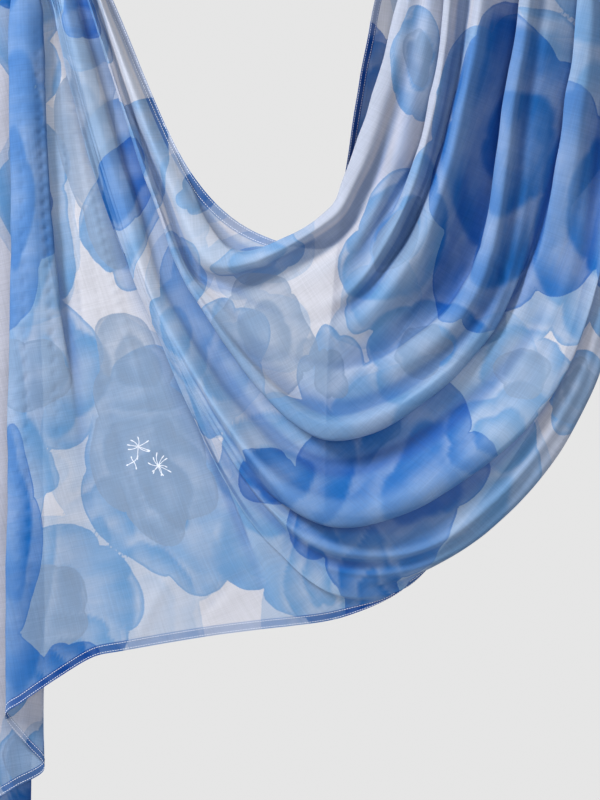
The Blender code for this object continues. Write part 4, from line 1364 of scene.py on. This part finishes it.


# %% [markdown]
# ## The sheer cotton
#
# The yarn is fine and the weave is open, so some light passes between the threads, some
# glows through them, and the rest comes back soft and dull. Uneven threads run both ways along
# the flat cloth. Painted shade deepens the colour in its valleys, and a painted highlight
# lightens its ridges.
# Near an edge it is three thick, so it is denser and darker there. Three shaders are mixed for
# this: a dull surface, a glow, and the gaps between the threads.

# %% cotton material
RIDGE_HIGHLIGHT = (0.34, 0.53, 0.78)
VALLEY_SHADE_AND_HEM_TINT = (0.52, 0.64, 0.82)
GLOW_SHARE = 0.24
GAP_SHARE = 0.28
YARN_SCALE = (1500.0, 16.0)
SLUB_SCALE = (520.0, 9.0)


def threads_both_ways(tree, place, scale, detail):
    """Streaks of uneven thread along the flat cloth and across it."""
    fine, long = scale
    warp = noise(tree, stretched(tree, place, fine, long), 1.0, detail)
    weft = noise(tree, stretched(tree, place, long, fine), 1.0, detail)
    return sums(tree, "ADD", warp, weft)


def cotton(name):
    """Sheer printed cotton."""
    material = bpy.data.materials.new(name)
    material.use_nodes = True
    tree = material.node_tree
    tree.nodes.clear()
    place = node(tree, "ShaderNodeUVMap", uv_map="flat").outputs[0]
    yarns = threads_both_ways(tree, place, YARN_SCALE, 2.0)
    slubs = threads_both_ways(tree, place, SLUB_SCALE, 1.0)
    weave = sums(tree, "MULTIPLY_ADD", yarns, 0.66, sums(tree, "MULTIPLY", slubs, 0.34))
    hem = ramp(tree, kept(tree, "edge"), HEM_WIDTH - 0.4, HEM_WIDTH + 0.4, 1.0, 0.0)
    colour = printed_colour(tree, place)
    tone = ramp(tree, weave, 0.75, 1.25, 0.95, 1.03)
    threads = node(tree, "ShaderNodeCombineColor", {0: tone, 1: tone, 2: tone}).outputs[0]
    colour = mixed(tree, 1.0, colour, threads, "MULTIPLY")
    # Painted shade: the colour is multiplied darker in the valleys, found by the relief; the same
    # darker mix marks the hem, which is really three thick.
    relief = kept(tree, "relief")
    deep = mixed(tree, 1.0, colour, VALLEY_SHADE_AND_HEM_TINT, "MULTIPLY")
    thick = sums(tree, "MULTIPLY", hem, 0.8)
    valley_shade_or_hem = sums(tree, "MAXIMUM", thick, ramp(tree, relief, 0.02, 0.6))
    colour = mixed(tree, valley_shade_or_hem, colour, deep)
    inked = ramp(tree, kept(tree, "blue"), -2.0, 3.0)
    deeper = mixed(tree, 1.0, colour, VALLEY_SHADE_AND_HEM_TINT, "MULTIPLY")
    colour = mixed(tree, sums(tree, "MULTIPLY", hem, inked), colour, deeper)
    # Painted highlight: the ridges, found by the relief, are mixed towards a pale blue.
    colour = mixed(tree, ramp(tree, relief, -0.02, -0.6, 0.0, 0.2), colour, RIDGE_HIGHLIGHT)
    bump = node(tree, "ShaderNodeBump", {"Height": weave, "Strength": 0.25, "Distance": 0.0004})
    body = node(
        tree,
        "ShaderNodeBsdfPrincipled",
        {
            "Base Color": colour,
            "Roughness": ramp(tree, weave, 0.8, 1.2, 0.84, 0.66),
            "Specular IOR Level": 0.1,
            "Sheen Weight": 0.04,
            "Sheen Roughness": 0.5,
            "Normal": bump.outputs[0],
        },
    )
    glow = node(tree, "ShaderNodeBsdfTranslucent", {"Color": colour, "Normal": bump.outputs[0]})
    layers = {0: GLOW_SHARE, 1: body.outputs[0], 2: glow.outputs[0]}
    solid = node(tree, "ShaderNodeMixShader", layers)
    light_through = mixed(tree, 0.7, (1.0, 1.0, 1.0), colour)
    gaps = node(tree, "ShaderNodeBsdfTransparent", {"Color": light_through})
    dark_ink = ramp(tree, kept(tree, "navy"), -2.0, 3.0)
    denser = sums(tree, "SUBTRACT", weave, 1.0)
    open_share = sums(tree, "MULTIPLY_ADD", inked, -0.12, GAP_SHARE)
    open_share = sums(tree, "MULTIPLY_ADD", dark_ink, -0.09, open_share)
    open_share = sums(tree, "MULTIPLY_ADD", denser, -0.2, open_share)
    open_share = sums(tree, "MULTIPLY", open_share, sums(tree, "MULTIPLY_ADD", hem, -0.75, 1.0))
    layers = {0: open_share, 1: solid.outputs[0], 2: gaps.outputs[0]}
    shader = node(tree, "ShaderNodeMixShader", layers)
    out = node(tree, "ShaderNodeOutputMaterial")
    tree.links.new(shader.outputs[0], out.inputs["Surface"])
    return material


# %% [markdown]
# ## Sewing thread and white print
#
# The thread is plain white cotton, so it needs only a dull surface and the slant of its twist.
# The white pigment of the sprigs is thin, and a fine noise lets it look worn.

# %% thread and white print
THREAD = (0.74, 0.79, 0.90)


def thread_material():
    """White sewing thread, with its twist as a fine slanted bump."""
    material = bpy.data.materials.new("sewing_thread")
    material.use_nodes = True
    tree = material.node_tree
    shader = tree.nodes["Principled BSDF"]
    place = node(tree, "ShaderNodeTexCoord").outputs["Object"]
    twist = node(tree, "ShaderNodeTexWave", {"Vector": place, "Scale": 900.0, "Distortion": 1.0})
    tone = mixed(tree, twist.outputs["Fac"], THREAD, tuple(0.86 * c for c in THREAD))
    height = {"Height": twist.outputs["Fac"], "Strength": 0.3, "Distance": 0.0001}
    bump = node(tree, "ShaderNodeBump", height)
    tree.links.new(tone, shader.inputs["Base Color"])
    tree.links.new(bump.outputs[0], shader.inputs["Normal"])
    shader.inputs["Roughness"].default_value = 0.6
    return material


def sprig_material():
    """White pigment of the printed sprigs, a little worn."""
    material = bpy.data.materials.new("white_print")
    material.use_nodes = True
    tree = material.node_tree
    shader = tree.nodes["Principled BSDF"]
    place = node(tree, "ShaderNodeTexCoord").outputs["Object"]
    worn = noise(tree, place, 700.0, 2.0)
    tone = mixed(tree, worn, THREAD, tuple(0.8 * c for c in THREAD))
    tree.links.new(tone, shader.inputs["Base Color"])
    shader.inputs["Roughness"].default_value = 0.8
    return material


# %% give each piece its material
printed = cotton("printed_cotton")
turned = cotton("turned_cotton")
sprigs.data.materials.append(sprig_material())
sewing = thread_material()
for piece in cloth_pieces.values():
    piece.data.materials.append(printed)
for piece in hem_pieces.values():
    piece.data.materials.append(turned)
for piece in stitch_pieces.values():
    piece.data.materials.append(sewing)
for material in (printed, turned, sewing, sprigs.data.materials[0]):
    print(material.name, "has", len(material.node_tree.nodes), "nodes")

# %% [markdown]
# ## Riding on the frame
#
# Every piece rides on the one body. Each stretch and each hem stands in for its imported solid,
# which is hidden, and the stitches and sprigs ride along with them.

# %% ride and replace
for name, piece in cloth_pieces.items():
    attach(piece, "root")
    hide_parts(name)
for name, piece in hem_pieces.items():
    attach(piece, "root")
    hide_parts(name)
    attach(stitch_pieces[name], "root")
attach(sprigs, "root")
print("riding pieces:", len(cloth_pieces) + len(hem_pieces) + len(stitch_pieces) + 1)

# %% [markdown]
# ## Which stretch carries each hem
#
# Each stretch is a part of one cut rectangle. A table lists the hems, and with them their
# stitches, that go with the stretch which carries them.


HEM_CARRIERS = {
    "left_end": ("hem_left_upper", "hem_left_end"),
    "left_panel": ("hem_lower",),
    "swag": ("hem_neck_left",),
    "right_fall": ("hem_neck_right", "hem_fall"),
    "back_tail": ("hem_tail_side", "hem_tail_end", "hem_tail_short_side"),
}
for name, piece in cloth_pieces.items():
    carried = [hem_pieces[hem] for hem in HEM_CARRIERS[name]]
    carried += [stitch_pieces[hem] for hem in HEM_CARRIERS[name]]

# %% [markdown]
# ## Studio
#
# The cloth hangs in front of a plain pale backdrop, which the world colour gives from every
# side, above a pale floor well below it. A large soft light stands high on the left, a weaker
# one fills from the front, and one behind makes the sheer cloth glow a little. A backdrop
# wall would show its own edges and shadows through the cloth when seen from the side.

# %% backdrop
BACKDROP = 0.79
AROUND = 0.24

scene = bpy.context.scene
world = bpy.data.worlds.new("studio")
scene.world = world
world.use_nodes = True
tree = world.node_tree
sky = tree.nodes["Background"]
sky.inputs["Color"].default_value = (1.0, 1.0, 1.0, 1.0)
seen = node(tree, "ShaderNodeLightPath").outputs["Is Camera Ray"]
strength = ramp(tree, seen, 0.0, 1.0, AROUND, BACKDROP)
tree.links.new(strength, sky.inputs["Strength"])
print("backdrop", BACKDROP, "and light from all round", AROUND)

# %% lights
MIDDLE = (0.3, 0.0, -0.5)


def area_light(name, place, aim, size, power, colour=(1.0, 1.0, 1.0)):
    light = bpy.data.lights.new(name, "AREA")
    light.shape = "DISK"
    light.size = size
    light.energy = power
    light.color = colour
    lamp = bpy.data.objects.new(name, light)
    lamp.location = place
    lamp.rotation_euler = (Vector(aim) - Vector(place)).to_track_quat("-Z", "Y").to_euler()
    bpy.context.scene.collection.objects.link(lamp)


area_light("key", (-1.9, -1.7, 1.5), (0.2, 0.0, -0.5), 0.9, 175.0)
area_light("fill", (1.2, -3.4, -0.2), MIDDLE, 1.8, 42.0)
area_light("behind", (0.8, 2.4, 0.7), MIDDLE, 1.8, 30.0)
print("lights:", [light.name for light in bpy.data.lights])

# %% [markdown]
# ## Floor and camera
#
# The floor is a round sheet of matt paper, so it has no corner in any view. The camera stands
# six metres away with a long lens, straight in front and level, because the photograph shows
# the cloth with hardly any perspective.

# %% floor
FLOOR_RADIUS = 2.2
FLOOR_DROP = -1.22
FLOOR_CORNERS = 96

angles = np.linspace(0, 2 * np.pi, FLOOR_CORNERS, endpoint=False)
rim = [(FLOOR_RADIUS * np.cos(a), FLOOR_RADIUS * np.sin(a), FLOOR_DROP) for a in angles]
disc = bpy.data.meshes.new("floor")
disc.from_pydata(rim, [], [tuple(range(FLOOR_CORNERS))])
floor = bpy.data.objects.new("floor", disc)
scene.collection.objects.link(floor)
paper = bpy.data.materials.new("floor_paper")
paper.use_nodes = True
matt = paper.node_tree.nodes["Principled BSDF"]
matt.inputs["Base Color"].default_value = (0.36, 0.36, 0.36, 1.0)
matt.inputs["Roughness"].default_value = 0.9
disc.materials.append(paper)
print("floor at", FLOOR_DROP, "m")

# %% camera
camera_data = bpy.data.cameras.new("camera")
camera_data.lens = 270.0
camera_data.sensor_width = 36.0
camera_data.clip_end = 100.0
camera = bpy.data.objects.new("camera", camera_data)
camera.location = (0.26, -6.02, -0.52)
camera.rotation_euler = (np.pi / 2, 0.0, 0.0)
scene.collection.objects.link(camera)
scene.camera = camera
scene.view_settings.view_transform = "Standard"
print("camera at", tuple(round(v, 2) for v in camera.location), "with a lens of", camera_data.lens)
